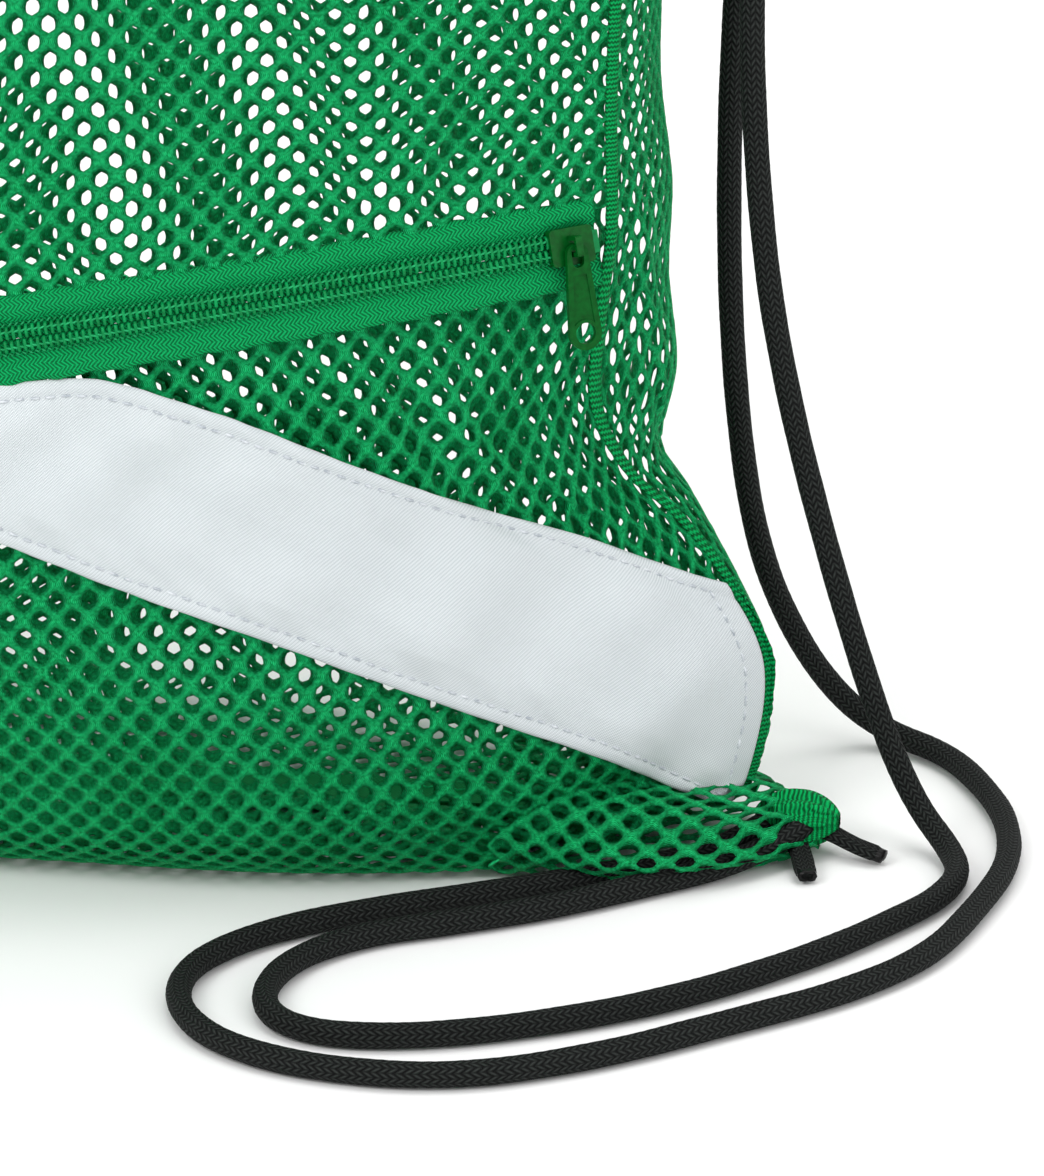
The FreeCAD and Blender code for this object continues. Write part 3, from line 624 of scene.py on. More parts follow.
# ---- Folds ----
# x and u of a fold's middle, its direction in degrees, half length, half width and height
FRONT_FOLDS = [
    (128, 138, -66, 17, 2.4, 2.2), (134, 130, -60, 20, 2.2, -1.6), (121, 133, -70, 18, 2.6, -1.5),
    (139, 122, -52, 16, 2.2, 1.8), (115, 128, -74, 14, 2.6, 1.2), (143, 114, -46, 14, 2.2, -1.2),
    (127, 58, 10, 26, 6.0, -2.6), (143, 43, 24, 18, 4.0, 2.0), (118, 42, 4, 24, 5.0, 1.4),
    (150, 30, 40, 12, 3.5, -2.0), (132, 27, 18, 18, 4.0, -1.5), (100, 22, 4, 26, 5.0, 1.2),
    (60, 60, 8, 40, 9.0, 1.2), (20, 40, -6, 40, 9.0, 1.0), (-60, 50, 10, 40, 9.0, 1.4),
    (-120, 60, -12, 26, 6.0, -2.2), (-140, 42, -26, 18, 4.0, 1.8), (-150, 28, -40, 12, 3.5, -1.8),
    (118, 200, 84, 26, 4.0, 1.6), (108, 230, 80, 40, 6.0, -1.2), (126, 192, 75, 14, 3.0, -1.4),
    (-120, 210, -84, 30, 5.0, 1.4), (40, 330, 76, 60, 9.0, 1.5), (-50, 350, -80, 60, 9.0, 1.5),
    (0, 390, 88, 46, 6.0, -1.5), (90, 400, 84, 40, 6.0, 1.5), (-100, 400, -84, 40, 6.0, 1.5),
]
BACK_FOLDS = [
    (180, 150, 60, 18, 3.0, 1.4), (172, 128, 66, 16, 2.6, -1.2), (60, 60, 12, 50, 9.0, 1.6),
    (-60, 80, -14, 50, 9.0, 1.6), (0, 220, 80, 70, 12.0, 1.6), (90, 300, 86, 70, 10.0, 1.6),
    (-90, 300, -86, 70, 10.0, 1.6), (30, 400, 88, 40, 6.0, -1.4), (-40, 400, 86, 40, 6.0, 1.4),
    (130, 40, 24, 24, 5.0, -1.8), (-130, 40, -24, 24, 5.0, -1.8),
]


CLOTH_FLOOR = 0.15
FRONT_WIDTH, BACK_WIDTH = 320.0, 400.0
EDGE_FADE = 24
END_FADE = 14


def folds_at(folds, x, u):
    height = 0.35 * np.sin(x * 0.071 + u * 0.043 + 1.0) + 0.3 * np.sin(x * 0.037 - u * 0.089 + 2.2)
    for middle_x, middle_u, turn, length, width, high in folds:
        c, s = math.cos(math.radians(turn)), math.sin(math.radians(turn))
        along = (x - middle_x) * c + (u - middle_u) * s
        across = -(x - middle_x) * s + (u - middle_u) * c
        height = height + high * np.exp(-(along / length) ** 2 - (across / width) ** 2)
    return height


def folded(surface, span, folds, width):
    """The surface with its folds, which are placed on a cloth of this width and fade at its edges."""
    def with_folds(a, u):
        base = surface(a, u)
        normal = normals_of(surface, a, u, span, (0, TOP_U))
        x = ((a - span[0]) / (span[1] - span[0]) - 0.5) * width
        edge = np.clip(np.minimum(a - span[0], span[1] - a) / (span[1] - span[0]) * EDGE_FADE, 0, 1)
        ends = np.clip(u / END_FADE, 0, 1) * np.clip((TOP_U - u) / END_FADE, 0, 1)
        points = base + normal * (folds_at(folds, x, u) * edge * ends)[:, None]
        points[:, 2] = np.maximum(points[:, 2], CLOTH_FLOOR)
        return points
    return with_folds


FRONT_SPAN = (-1.0, 1.0)
BACK_SPAN = (0.0, 1.0)
front_surface = folded(front_point, FRONT_SPAN, FRONT_FOLDS, FRONT_WIDTH)
BACK_FOLDS_TURNED = [(-x, u, -turn, *sizes) for x, u, turn, *sizes in BACK_FOLDS]
back_surface = folded(back_point, BACK_SPAN, BACK_FOLDS_TURNED, BACK_WIDTH)
POCKET_DEPTH = 11.0
BACKING_GAP = 2.8
BACKING_TOP_GAP = 2.4
BACKING_INSET = 5.0
BACKING_LAP = 8
BACKING_WALL_FROM = 20
BACKING_WALL_SPAN = 50


def backing_surface(s, u):
    """The pocket's backing, behind its front and just above its floor."""
    share = 1 - BACKING_INSET / station(u)[2]
    points = front_point(s * share, u)
    b = np.clip((u - 2) / (ZIP_U + BACKING_LAP), 0, 1)
    fullness = np.sin(math.pi * (s + 1) / 2) * np.sin(math.pi * b)
    wall = np.clip((u - BACKING_WALL_FROM) / BACKING_WALL_SPAN, 0, 1)
    points[:, 1] += (BACKING_GAP + BACKING_TOP_GAP * b + POCKET_DEPTH * fullness) * wall
    points[:, 2] += BACKING_GAP * (1 - wall)
    return points


# ---- Netting ----
PITCH = 6.4
ROW = 3.65
HOLE_HALF = (1.5, 1.86)
STRAND_HALF_THICK = 0.45
CLOTH_MIDDLE = -0.5
GATHER_REACH = 34.0
RING = 14
NET_MARGIN = 0.4


def net_rings():
    """The outline of one cell, shared with its neighbours, and of the hole in it."""
    half = PITCH / 2
    tip = (half ** 2 + ROW ** 2) / (2 * ROW)
    shoulder = (ROW ** 2 - half ** 2) / (2 * ROW)
    corners = [
        (half, shoulder), (0, tip), (-half, shoulder), (-half, -shoulder), (0, -tip), (half, -shoulder)
    ]
    outline = []
    for k, (start, end) in enumerate(zip(corners, corners[1:] + corners[:1])):
        parts = 1 if k in (2, 5) else 3
        for part in range(parts):
            w = part / parts
            outline.append((start[0] * (1 - w) + end[0] * w, start[1] * (1 - w) + end[1] * w))
    hole = []
    for k in range(RING):
        angle = (k + 0.5) * TURN / RING
        size = 1 - 0.05 * math.cos(6 * angle)
        hole.append((HOLE_HALF[0] * size * math.cos(angle), HOLE_HALF[1] * size * math.sin(angle)))
    return np.array(outline), np.array(hole)


OUTLINE, HOLE = net_rings()


def arc_table(surface, span, u_low, u_high):
    """How far along the cloth each share of each level is, from the level's middle."""
    shares = np.linspace(span[0], span[1], 161)
    levels = np.linspace(u_low, u_high, 61)
    lengths = []
    for level in levels:
        points = surface(shares, np.full_like(shares, level))
        total = lengths_along(points)
        lengths.append(total - total[-1] / 2)
    return shares, levels, np.array(lengths)


def share_at(table, gather, x, u):
    """The share of its level that a point of the cloth lies at; gather(u) is extra cloth at a seam."""
    shares, levels, lengths = table
    row = np.clip((u - levels[0]) / (levels[1] - levels[0]), 0, len(levels) - 1.001)
    low = row.astype(int)
    extra = gather(u)
    result = np.zeros_like(x)
    for offset in (0, 1):
        weight = (row - low) if offset else 1 - (row - low)
        for k in np.unique(low):
            chosen = low == k
            line = lengths[k + offset]
            past = np.maximum(np.abs(x[chosen]) - (line[-1] - GATHER_REACH), 0)
            more = extra[chosen]
            past = np.minimum(past, GATHER_REACH + more)
            pulled = np.abs(x[chosen]) - more / (GATHER_REACH + more) ** 2 * past ** 2
            outside = np.abs(x[chosen]) > line[-1] + more
            pulled = np.where(outside, line[-1] + 1, pulled)
            result[chosen] += weight[chosen] * np.interp(np.sign(x[chosen]) * pulled, line, shares)
    return result


def net(name, surface, span, u_span, gather, replaced, rows=None):
    """A panel of netting over a surface, cut off straight at the panel's edges."""
    table = arc_table(surface, span, *u_span)
    first, last = rows or (math.floor(u_span[0] / ROW), math.ceil(u_span[1] / ROW))
    half_count = int(table[2].max() / PITCH) + 8
    centres = []
    for j in range(first, last + 1):
        x = (np.arange(-half_count, half_count + 1) + 0.5 * (j % 2)) * PITCH
        centres.append(np.stack([x, np.full_like(x, j * ROW)], axis=1))
    centres = np.concatenate(centres)
    inside = (centres[:, 1] > u_span[0] + NET_MARGIN) & (centres[:, 1] < u_span[1] - NET_MARGIN)
    centres = centres[inside]
    shares = share_at(table, gather, centres[:, 0], centres[:, 1])
    edge = 1e-4 * (span[1] - span[0])
    centres = centres[(shares > span[0] + edge) & (shares < span[1] - edge)]
    count = len(centres)

    outline = (centres[:, None, :] + OUTLINE[None]).reshape(-1, 2)
    _, first_use, shared = np.unique(np.round(outline, 3), axis=0, return_index=True, return_inverse=True)
    shared = shared.reshape(count, RING)
    outer_flat = outline[first_use]
    hole_flat = (centres[:, None, :] + HOLE[None]).reshape(-1, 2)
    flat = np.concatenate([outer_flat, hole_flat])
    u = np.clip(flat[:, 1], *u_span)
    share = share_at(table, gather, flat[:, 0], u)
    points = surface(share, u)
    normals = normals_of(surface, share, u, span, u_span)
    outers = len(outer_flat)
    top = points[:outers] + normals[:outers] * (CLOTH_MIDDLE + STRAND_HALF_THICK)
    bottom = points[:outers] + normals[:outers] * (CLOTH_MIDDLE - STRAND_HALF_THICK)
    holes = points[outers:] + normals[outers:] * CLOTH_MIDDLE
    everything = np.concatenate([top, bottom, holes])

    after = np.roll(shared, -1, axis=1)
    hole = (2 * outers + np.arange(count * RING)).reshape(count, RING)
    hole_after = np.roll(hole, -1, axis=1)
    upper = np.stack([shared, after, hole_after, hole], axis=-1).reshape(-1, 4)
    lower = np.stack([hole, hole_after, after + outers, shared + outers], axis=-1).reshape(-1, 4)
    pairs = np.stack([shared.ravel(), after.ravel()], axis=1)
    known = set(map(tuple, pairs.tolist()))
    rim = np.array([(b, a, a + outers, b + outers) for a, b in known if (b, a) not in known]).reshape(-1, 4)
    faces = np.concatenate([upper, lower, rim])

    all_flat = np.concatenate([outer_flat, outer_flat, hole_flat])
    round_the_hole = TURN * sum(HOLE_HALF) / 2 / RING
    width = (PITCH * ROW / (HOLE_HALF[0] + HOLE_HALF[1]) - 2) * 0.4
    around = np.arange(count * RING) % RING * round_the_hole
    strip = np.zeros((count * RING, 4, 2))
    strip[:, 0, 0] = strip[:, 3, 0] = around
    strip[:, 1, 0] = strip[:, 2, 0] = around + round_the_hole
    strip[:, 0:2, 1] = width
    strand = np.concatenate([
        strip.reshape(-1, 2), strip[:, ::-1].reshape(-1, 2), np.zeros((len(rim) * 4, 2))
    ])
    piece = make_piece(
        name, everything, faces.tolist(), "mesh", {"fabric": all_flat[faces.ravel()], "strand": strand},
    )
    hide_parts(replaced)


def front_gather(u):
    """Extra cloth that the side seams gather, most of all beside the zipper's ends."""
    return 3 + 15 * np.exp(-((u - 128) / 26) ** 2) + 6 * np.exp(-((u - 30) / 20) ** 2)


def back_gather(u):
    return 3 + 10 * np.exp(-((u - 140) / 36) ** 2)


ZIP_EDGE = TAPE_HALF - 0.6
for name, surface, levels, replaced in (
    ("netting_front_upper", front_surface, (ZIP_U + ZIP_EDGE, TOP_U), "front_mesh_upper"),
    ("netting_pocket", front_surface, (0.0, ZIP_U - ZIP_EDGE), "pocket_mesh"),
    ("netting_pocket_backing", backing_surface, (2.0, ZIP_U + BACKING_LAP), "pocket_backing_mesh"),
):
    net(name, surface, FRONT_SPAN, levels, front_gather, replaced)
BACK_ROWS = [0, 41, 81, 122]
for part, (low, high) in enumerate(zip(BACK_ROWS, BACK_ROWS[1:])):
    net(
        f"netting_back_{part + 1}", back_surface, BACK_SPAN, (0.0, TOP_U), back_gather, "back_mesh",
        rows=(low if part == 0 else low + 1, high),
    )


# ---- Zipper ----
def zipper_frame():
    height, depth, half, seam, _, _, tilt_x, tilt_y, _ = (v[0] for v in station(np.array([ZIP_U])))
    along, out, normal = (v[0] for v in section_axes(np.array([tilt_x]), np.array([tilt_y])))
    bow = depth - seam
    radius = arc_radius(half, bow)
    return along, out, normal, radius, np.array([0, -depth, height]) - out * radius


ZIP_ALONG, ZIP_OUT, ZIP_NORMAL, ZIP_RADIUS, ZIP_CENTRE = zipper_frame()
TAPE_END_ANGLE = 34.45
CHAIN_END_ANGLE = 34.0


def zip_point(angle, out, across):
    """A point by its angle along the chain's arc, its height off the tape and its side step."""
    turn = np.radians(angle)
    reach = ZIP_RADIUS + out
    return (
        ZIP_CENTRE
        + ZIP_ALONG * (reach * np.sin(turn))[..., None]
        + ZIP_OUT * (reach * np.cos(turn))[..., None]
        + ZIP_NORMAL * np.asarray(across)[..., None]
    )


# (across, out) round the section of each tape: a flat woven part by the coil, then a rolled edge
UPPER_TAPE = [
    (0.06, 0.42), (1.6, 0.45), (2.7, 0.5), (3.2, 0.75), (3.9, 1.35), (4.9, 1.85), (6.0, 2.0),
    (7.1, 1.8), (8.0, 1.2), (8.5, 0.4), (8.3, -0.4), (7.2, -0.8), (5.0, -0.7), (2.6, -0.45), (0.06, -0.4),
]
LOWER_TAPE = [
    (-0.06, -0.4), (-2.6, -0.45), (-5.0, -0.6), (-7.0, -0.7), (-8.2, -0.5), (-8.7, 0.1), (-8.3, 0.75),
    (-7.2, 1.05), (-5.8, 1.0), (-4.6, 0.75), (-3.6, 0.45), (-2.7, 0.4), (-1.6, 0.45), (-0.06, 0.42),
]


def make_tape(name, section, replaced):
    rows = 260
    angles = np.linspace(-TAPE_END_ANGLE, TAPE_END_ANGLE, rows)
    section = np.array(section)
    edge = np.abs(section[:, 0]) > 3
    points, flat = [], []
    around = lengths_along(section)
    for angle in angles:
        soft = 0.22 * math.sin(angle * 2.3) + 0.12 * math.sin(angle * 5.9 + 1)
        across = section[:, 0] + np.sign(section[:, 0]) * edge * soft
        out = section[:, 1] * (1 + 0.25 * edge * soft)
        points.append(zip_point(np.full(len(section), angle), out, across))
        flat += [(math.radians(angle) * ZIP_RADIUS, v) for v in around]
    points = np.concatenate(points)
    faces = grid_faces(rows, len(section), wrap=True)
    corners = grid_corners(flat, rows, len(section), wrap=around[-1] + 0.9)
    for start, flip in ((0, False), ((rows - 1) * len(section), True)):
        cap = [start + k for k in range(len(section))]
        cap = cap[::-1] if flip else cap
        faces.append(tuple(cap))
        corners += [flat[n] for n in cap]
    turned = [tuple(reversed(face)) for face in faces]
    piece = make_piece(name, points, turned, "zip_tape", {"fabric": reverse_each(corners, faces)})
    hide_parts(replaced)


make_tape("zipper_tape_upper_woven", UPPER_TAPE, "zipper_tape_upper")
make_tape("zipper_tape_lower_woven", LOWER_TAPE, "zipper_tape_lower")

TOOTH_HALF = 0.36
TOOTH_STEP = math.degrees(1.25 / ZIP_RADIUS)
TOOTH_COUNT = int(2 * CHAIN_END_ANGLE / TOOTH_STEP)


def make_coil(name, side, replaced):
    """The turns of one side's coil, each a bent bar over the chain, meshed with the other side's."""
    path = [(0.15, 1.55), (0.45, 1.95), (1.2, 2.08), (1.95, 1.95), (2.35, 1.5), (2.4, 0.8), (2.1, 0.45)]
    sides = 6
    points, faces, corners = [], [], []
    for i in range(TOOTH_COUNT):
        middle = -CHAIN_END_ANGLE + (i + (0.5 if side > 0 else 0)) * TOOTH_STEP
        base = len(points)
        for k, (across, out) in enumerate(path):
            ahead = path[min(k + 1, len(path) - 1)]
            behind = path[max(k - 1, 0)]
            way = np.array([ahead[0] - behind[0], ahead[1] - behind[1]])
            way = way / np.linalg.norm(way)
            thick = 0.3 if 0 < k < len(path) - 1 else 0.2
            for n in range(sides):
                turn = TURN * n / sides
                lengthways = TOOTH_HALF * math.cos(turn)
                rise_by = thick * math.sin(turn)
                points.append(zip_point(
                    np.array(middle + math.degrees(lengthways / ZIP_RADIUS)),
                    np.array(out + way[0] * rise_by),
                    np.array(side * (across - way[1] * rise_by)),
                ))
        for quad in grid_faces(len(path), sides, wrap=True):
            faces.append(tuple(base + n for n in (quad if side > 0 else reversed(quad))))
            corners += [(0, 0)] * 4
        for start in (base, base + (len(path) - 1) * sides):
            faces.append(tuple(range(start, start + sides)))
            corners += [(0, 0)] * sides
    piece = make_piece(name, points, faces, "zip_coil", {"fabric": corners})
    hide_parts(replaced)


make_coil("zipper_coil_upper_turns", 1, "zipper_coil_upper")
make_coil("zipper_coil_lower_turns", -1, "zipper_coil_lower")


def small_bars(name, centres, ways, ups, half_length, half_width, half_thick, slot, material=None):
    """Many short rounded bars in one piece, such as stitches."""
    rings = [(-1, 0.35, -0.75), (-0.7, 0.9, -0.1), (0, 1.0, 0.25), (0.7, 0.9, -0.1), (1, 0.35, -0.75)]
    sides = 6
    points, faces = [], []
    for centre, way, up in zip(centres, ways, ups):
        base = len(points)
        across = np.cross(way, up)
        for along, size, lift in rings:
            for n in range(sides):
                turn = TURN * n / sides
                points.append(
                    centre + way * (along * half_length)
                    + across * (math.cos(turn) * half_width * size)
                    + up * (math.sin(turn) * half_thick * size + lift * half_thick)
                )
        faces += [tuple(base + n for n in quad) for quad in grid_faces(len(rings), sides, wrap=True)]
        faces += [tuple(range(base, base + sides)),
                  tuple(range(base + (len(rings) - 1) * sides, base + len(rings) * sides))]
    corners = [(0, 0)] * sum(len(f) for f in faces)
    return make_piece(name, points, faces, slot, {"fabric": corners}, material=material)


def make_chain_stitches():
    """The lockstitches that hold the coils to the tapes, over each turn and along each tape."""
    for side, side_name in ((1, "upper"), (-1, "lower")):
        centres, ways, ups = [], [], []
        for i in range(TOOTH_COUNT):
            angle = np.array(-CHAIN_END_ANGLE + (i + (0.0 if side > 0 else 0.5)) * TOOTH_STEP)
            for across, out, slant in ((1.55, 2.2, 0.3), (2.75, 1.0, 0.9)):
                centre, ahead, below = (
                    zip_point(angle + turn, np.array(out - drop), np.array(side * across))
                    for turn, drop in ((0, 0), (TOOTH_STEP, 0), (0, 1))
                )
                up = unit(centre - below)
                way = unit(unit(ahead - centre) + ZIP_NORMAL * slant * side)
                centres.append(centre)
                ways.append(way)
                ups.append(up)
        small_bars(f"zipper_stitches_{side_name}", centres, ways, ups, 0.6, 0.2, 0.2, "thread")


make_chain_stitches()


# ---- White stripe ----
# share across the front and u of each edge
STRIPE_TOP = np.array([
    (-0.16, 157), (0.27, 157), (0.44, 147.9), (0.615, 134.9), (0.815, 116.7), (0.985, 96.5)
])
STRIPE_BOTTOM = np.array([
    (-0.16, 151), (0.167, 126.6), (0.337, 111.9), (0.495, 98.5), (0.796, 69.4), (0.985, 41)
])
STRIPE_LIFT = 1.3
STRIPE_THICK = 0.5
STITCH_PITCH = 3.0
STITCH_INSET = 3.3
STITCH_BACK = 0.978
STRIPE_SPAN = 190
HEM_WIDTH = 1.6
HALF_FRONT = 150
PUCKER_PITCH = 7.3
# height, direction across, direction up, length and start of each wave in the slack cloth
STRIPE_WAVES = [(0.55, 0.86, -0.5, 31, 0.6), (0.4, 0.5, -0.86, 19, 2.0), (0.35, 1.0, 0.2, 47, 0.0)]


def stripe_edges(a):
    """The share across the front, and the lower and upper u, at a along the stripe."""
    s = STRIPE_TOP[0][0] + (STRIPE_TOP[-1][0] - STRIPE_TOP[0][0]) * a
    return s, smooth_values(STRIPE_BOTTOM, s)[0], smooth_values(STRIPE_TOP, s)[0]


def stripe_point(a, b):
    """The stripe's outer side: a runs from its thin end to the seam, b from its lower edge up."""
    s, low, high = stripe_edges(a)
    u = low + (high - low) * b
    points = front_surface(s, u)
    normal = normals_of(front_point, s, u, FRONT_SPAN, (0, TOP_U))
    x = s * HALF_FRONT
    edge = np.minimum(b, 1 - b) * (high - low)
    end = (1 - a) * STRIPE_SPAN
    hem = 0.35 * np.exp(-((edge - HEM_WIDTH) / HEM_WIDTH) ** 2)
    hem = hem - 0.3 * np.exp(-((edge - STITCH_INSET) / 0.7) ** 2)
    pucker = 0.24 * np.sin((x + 0.35 * u) * TURN / PUCKER_PITCH)
    pucker = pucker * np.exp(-((edge - 3.0) / 5.0) ** 2)
    slack = np.clip(edge / 9, 0, 1) * np.clip(end / 12, 0, 1)
    waves = 0
    for high, over, up, pitch, start in STRIPE_WAVES:
        waves = waves + high * np.sin((x * over + u * up) * TURN / pitch + start)
    height = STRIPE_LIFT + hem + pucker + slack * (0.9 + waves)
    return points + normal * height[:, None]


def stripe_length():
    """Length of the stripe's middle line."""
    a = np.linspace(0, 1, 200)
    points = stripe_point(a, np.full_like(a, 0.5))
    return np.linalg.norm(np.diff(points, axis=0), axis=1).sum()


def make_stripe():
    rows, columns = 64, 300
    b, a = np.meshgrid(np.linspace(0, 1, rows), np.linspace(0, 1, columns), indexing="ij")
    points = stripe_point(a.ravel(), b.ravel())
    length = stripe_length()
    grid = points.reshape(rows, columns, 3)
    upward = np.concatenate([
        np.zeros((1, columns)), np.cumsum(np.linalg.norm(np.diff(grid, axis=0), axis=2), axis=0)
    ])
    flat = np.stack([a * length, upward], axis=-1).reshape(-1, 2)
    piece = cloth_piece("stripe_woven", points, [tuple(p) for p in flat], (rows, columns), STRIPE_THICK,
                        "stripe_cloth")
    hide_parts("stripe")


def stitch_line(name, line, normals, slot, material, pitch=STITCH_PITCH, half=1.05, thick=0.26):
    """A row of stitches along a line of points."""
    lengths = lengths_along(line)
    wanted = np.arange(pitch / 2, lengths[-1], pitch)

    def at(values, where):
        return np.stack([np.interp(where, lengths, values[:, k]) for k in range(3)], axis=1)
    centres = at(line, wanted)
    ways = unit(at(line, wanted + 0.4) - at(line, wanted - 0.4))
    ups = unit(at(normals, wanted))
    small_bars(name, centres, ways, ups, half, thick, thick, slot, material)


def make_stripe_stitches():
    a = np.linspace(0.03, 0.975, 400)
    _, low, high = stripe_edges(a)
    inset = np.clip(STITCH_INSET / (high - low), 0, 0.5)
    span = (0.0, 1.0)
    up_the_end = np.linspace(0.07, 0.93, 90)
    for name, across, up, lift in (
        ("low", a, inset, 0.12),
        ("high", a, 1 - inset, 0.12),
        ("end", np.full_like(up_the_end, STITCH_BACK), up_the_end, 0.1),
    ):
        normals = normals_of(stripe_point, across, up, span, span)
        line = stripe_point(across, up) + normals * lift
        stitch_line(f"stripe_stitches_{name}", line, normals, "stripe_cloth", "white_thread")


make_stripe()
make_stripe_stitches()


# ---- Side seams and bottom binding ----
SEAM_LAP = 1.5
SEAM_BACK_SHARE = 0.0034
SEAM_CLOTH = 0.9


def make_side_seam(side, side_name):
    """A bound seam that covers the edges of the panels on both sides of it."""
    rows, columns = 300, 13
    levels = np.linspace(4, TOP_U, rows)
    ones = np.ones_like(levels)
    front_edge = front_surface(side * (1 - SEAM_LAP / station(levels)[2]), levels)
    seam_line = front_point(side * ones, levels)
    back_share = SEAM_BACK_SHARE if side > 0 else 1 - SEAM_BACK_SHARE
    back_edge = back_surface(back_share * ones, levels)
    outward = unit(np.stack([side * ones, np.zeros_like(ones), np.zeros_like(ones)], axis=-1)
                   + unit(seam_line - (front_edge + back_edge) / 2) * 0.2)
    points, flat = [], []
    for k in range(rows):
        for j in range(columns):
            w = j / (columns - 1)
            straight = front_edge[k] * (1 - w) + back_edge[k] * w
            pull = seam_line[k] - (front_edge[k] + back_edge[k]) / 2
            bulge = math.sin(math.pi * w)
            ripple = 0.22 * math.sin(levels[k] * 1.9) * bulge
            lift = 0.1 + 0.3 * bulge + ripple
            points.append(straight + pull * bulge ** 1.5 * 0.9 + outward[k] * lift)
            flat.append((levels[k], w * 7))
    points = np.array(points)
    if side < 0:
        points = points.reshape(rows, columns, 3)[:, ::-1].reshape(-1, 3)
    piece = cloth_piece(
        f"side_seam_{side_name}_bound", points, flat, (rows, columns), SEAM_CLOTH, "seam_tape",
        material="knit_plain",
    )
    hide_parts(f"side_seam_{side_name}")


def plain_knit():
    """Dense knit with ribs across it, for folded seams where no hole shows."""
    s = Shader("knit_ribbed", 0.6, Specular_IOR_Level=0.08)
    along, across, cloth = s.flat_axes("fabric")
    ribs = s.wave(s.add(along, s.times(s.wave(across, 1.2), 0.3)), 1.1)
    grain = s.noise(cloth, 2.0, 2.0)
    tone = s.add(s.times(ribs, 0.6), s.times(grain, 0.6))
    s.colour(s.ramp(tone, [(0.3, linear(0, 74, 34)), (0.95, GREEN)]))
    s.bump(s.add(ribs, grain), 0.25)
    return s.material


MATERIALS["knit_plain"] = plain_knit()
for side, side_name in SIDES:
    make_side_seam(side, side_name)


BINDING_REACH = 149
BINDING_LOW_Y, BINDING_HIGH_Y = -7.4, 10.2
BINDING_THREAD_ENDS = 10


def make_bottom_binding():
    """The folded tape under the bag that closes the front panel's and the back panel's lower edges."""
    rows, columns = 260, 11
    x = np.linspace(-BINDING_REACH, BINDING_REACH, rows)
    lift = rise(x, np.zeros_like(x))
    points, flat = [], []
    for k in range(rows):
        for j in range(columns):
            w = j / (columns - 1)
            y = BINDING_LOW_Y + (BINDING_HIGH_Y - BINDING_LOW_Y) * w
            crown = math.sin(math.pi * w) ** 0.5 * 1.3
            wave = 0.12 * math.sin(x[k] * 0.8) * (1 - math.sin(math.pi * w))
            points.append((x[k], y, 1.35 - crown + lift[k] + wave + 0.05))
            flat.append((x[k], y))
    piece = cloth_piece("bottom_binding_folded", points, flat, (rows, columns), SEAM_CLOTH, "seam_tape")
    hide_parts("bottom_seam_binding")
    sewn = slice(BINDING_THREAD_ENDS, -BINDING_THREAD_ENDS)
    middle = np.stack([x[sewn], np.ones_like(x[sewn]), lift[sewn] + 0.05], axis=1)
    down = np.tile((0.0, 0.0, -1.0), (len(middle), 1))
    for name, y in (("front", -4.5), ("back", 7.0)):
        line = middle + np.array([0, y, 0.35])
        stitch_line(f"bottom_stitches_{name}", line, down, "thread", "thread", 3.2, 1.2, 0.24)


make_bottom_binding()


# ---- Gathered corners ----
GATHER_CENTRE = (171, -9, 7)
GATHER_RADIUS = 5.6
GATHER_REACH_IN = -8
GATHER_LENGTH = 17


def make_gather(side, side_name):
    """The bunched corner: the cloth's pleats come together round the cord's two ends."""
    rows, columns = 40, 72
    points, flat = [], []
    for i in range(rows):
        w = i / (rows - 1)
        reach = GATHER_REACH_IN + GATHER_LENGTH * w
        swell = math.sin(math.pi * (w * 0.94 + 0.03)) ** 0.55
        for j in range(columns):
            turn = TURN * j / columns
            pleat = 1 + 0.1 * math.sin(9 * turn + 1.2 * w) * (0.4 + w)
            pleat += 0.05 * math.sin(5 * turn + 4 * w)
            radius = GATHER_RADIUS * swell * pleat
            y = GATHER_CENTRE[1] + radius * 1.12 * math.cos(turn) - 1.5 * w
            z = GATHER_CENTRE[2] + radius * 0.98 * math.sin(turn)
            points.append((side * (GATHER_CENTRE[0] + reach), y, max(z, 0.4)))
            flat.append((reach * 1.2, radius * turn))
    faces = grid_faces(rows, columns, wrap=True)
    corners = grid_corners(flat, rows, columns, wrap=0.01)
    if side > 0:
        faces = [tuple(reversed(f)) for f in faces]
        corners = reverse_each(corners, faces)
    piece = make_piece(
        f"corner_gather_{side_name}_pleats", points, faces, "mesh", {"fabric": corners}, "knit_plain"
    )
    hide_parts(f"corner_gather_{side_name}")


LOBE_LENGTH = 63.0
LOBE_START = 113.0
LOBE_FLOOR = 1.15
LOBE_WIDEST = 0.4


def make_lobe(side, side_name):
    """The netting of the bag's corner: it rests on the cord and draws in to the gathered tip."""
    def surface(s, u):
        w = np.clip(np.asarray(u) / LOBE_LENGTH, 0, 1)
        turn = side * TURN * np.asarray(s) + 0.6 * math.pi
        pleat = 1 + (0.02 + 0.07 * w) * np.sin(7 * turn)
        widening = 0.72 + 0.28 * np.minimum(w / LOBE_WIDEST, 1)
        half_y = 4 + 24 * (1 - w ** 4) * widening
        half_z = 4.5 + 8.5 * (1 - w ** 2)
        y = -18 + 9 * w + half_y * pleat * np.sin(turn)
        z = LOBE_FLOOR + half_z * (0.55 - pleat * np.cos(turn))
        return np.stack([side * (LOBE_START + u), y, np.maximum(z, LOBE_FLOOR)], axis=-1)

    net(
        f"corner_lobe_{side_name}", surface, (0.0, 1.0), (0.0, LOBE_LENGTH),
        lambda u: 0 * u, f"corner_gather_{side_name}",
    )


for make in (make_gather, make_lobe):
    for side, side_name in SIDES:
        make(side, side_name)


# ---- Hem channels ----
CHANNEL_STEP = 1.45
HEM_PITCH = 3.2


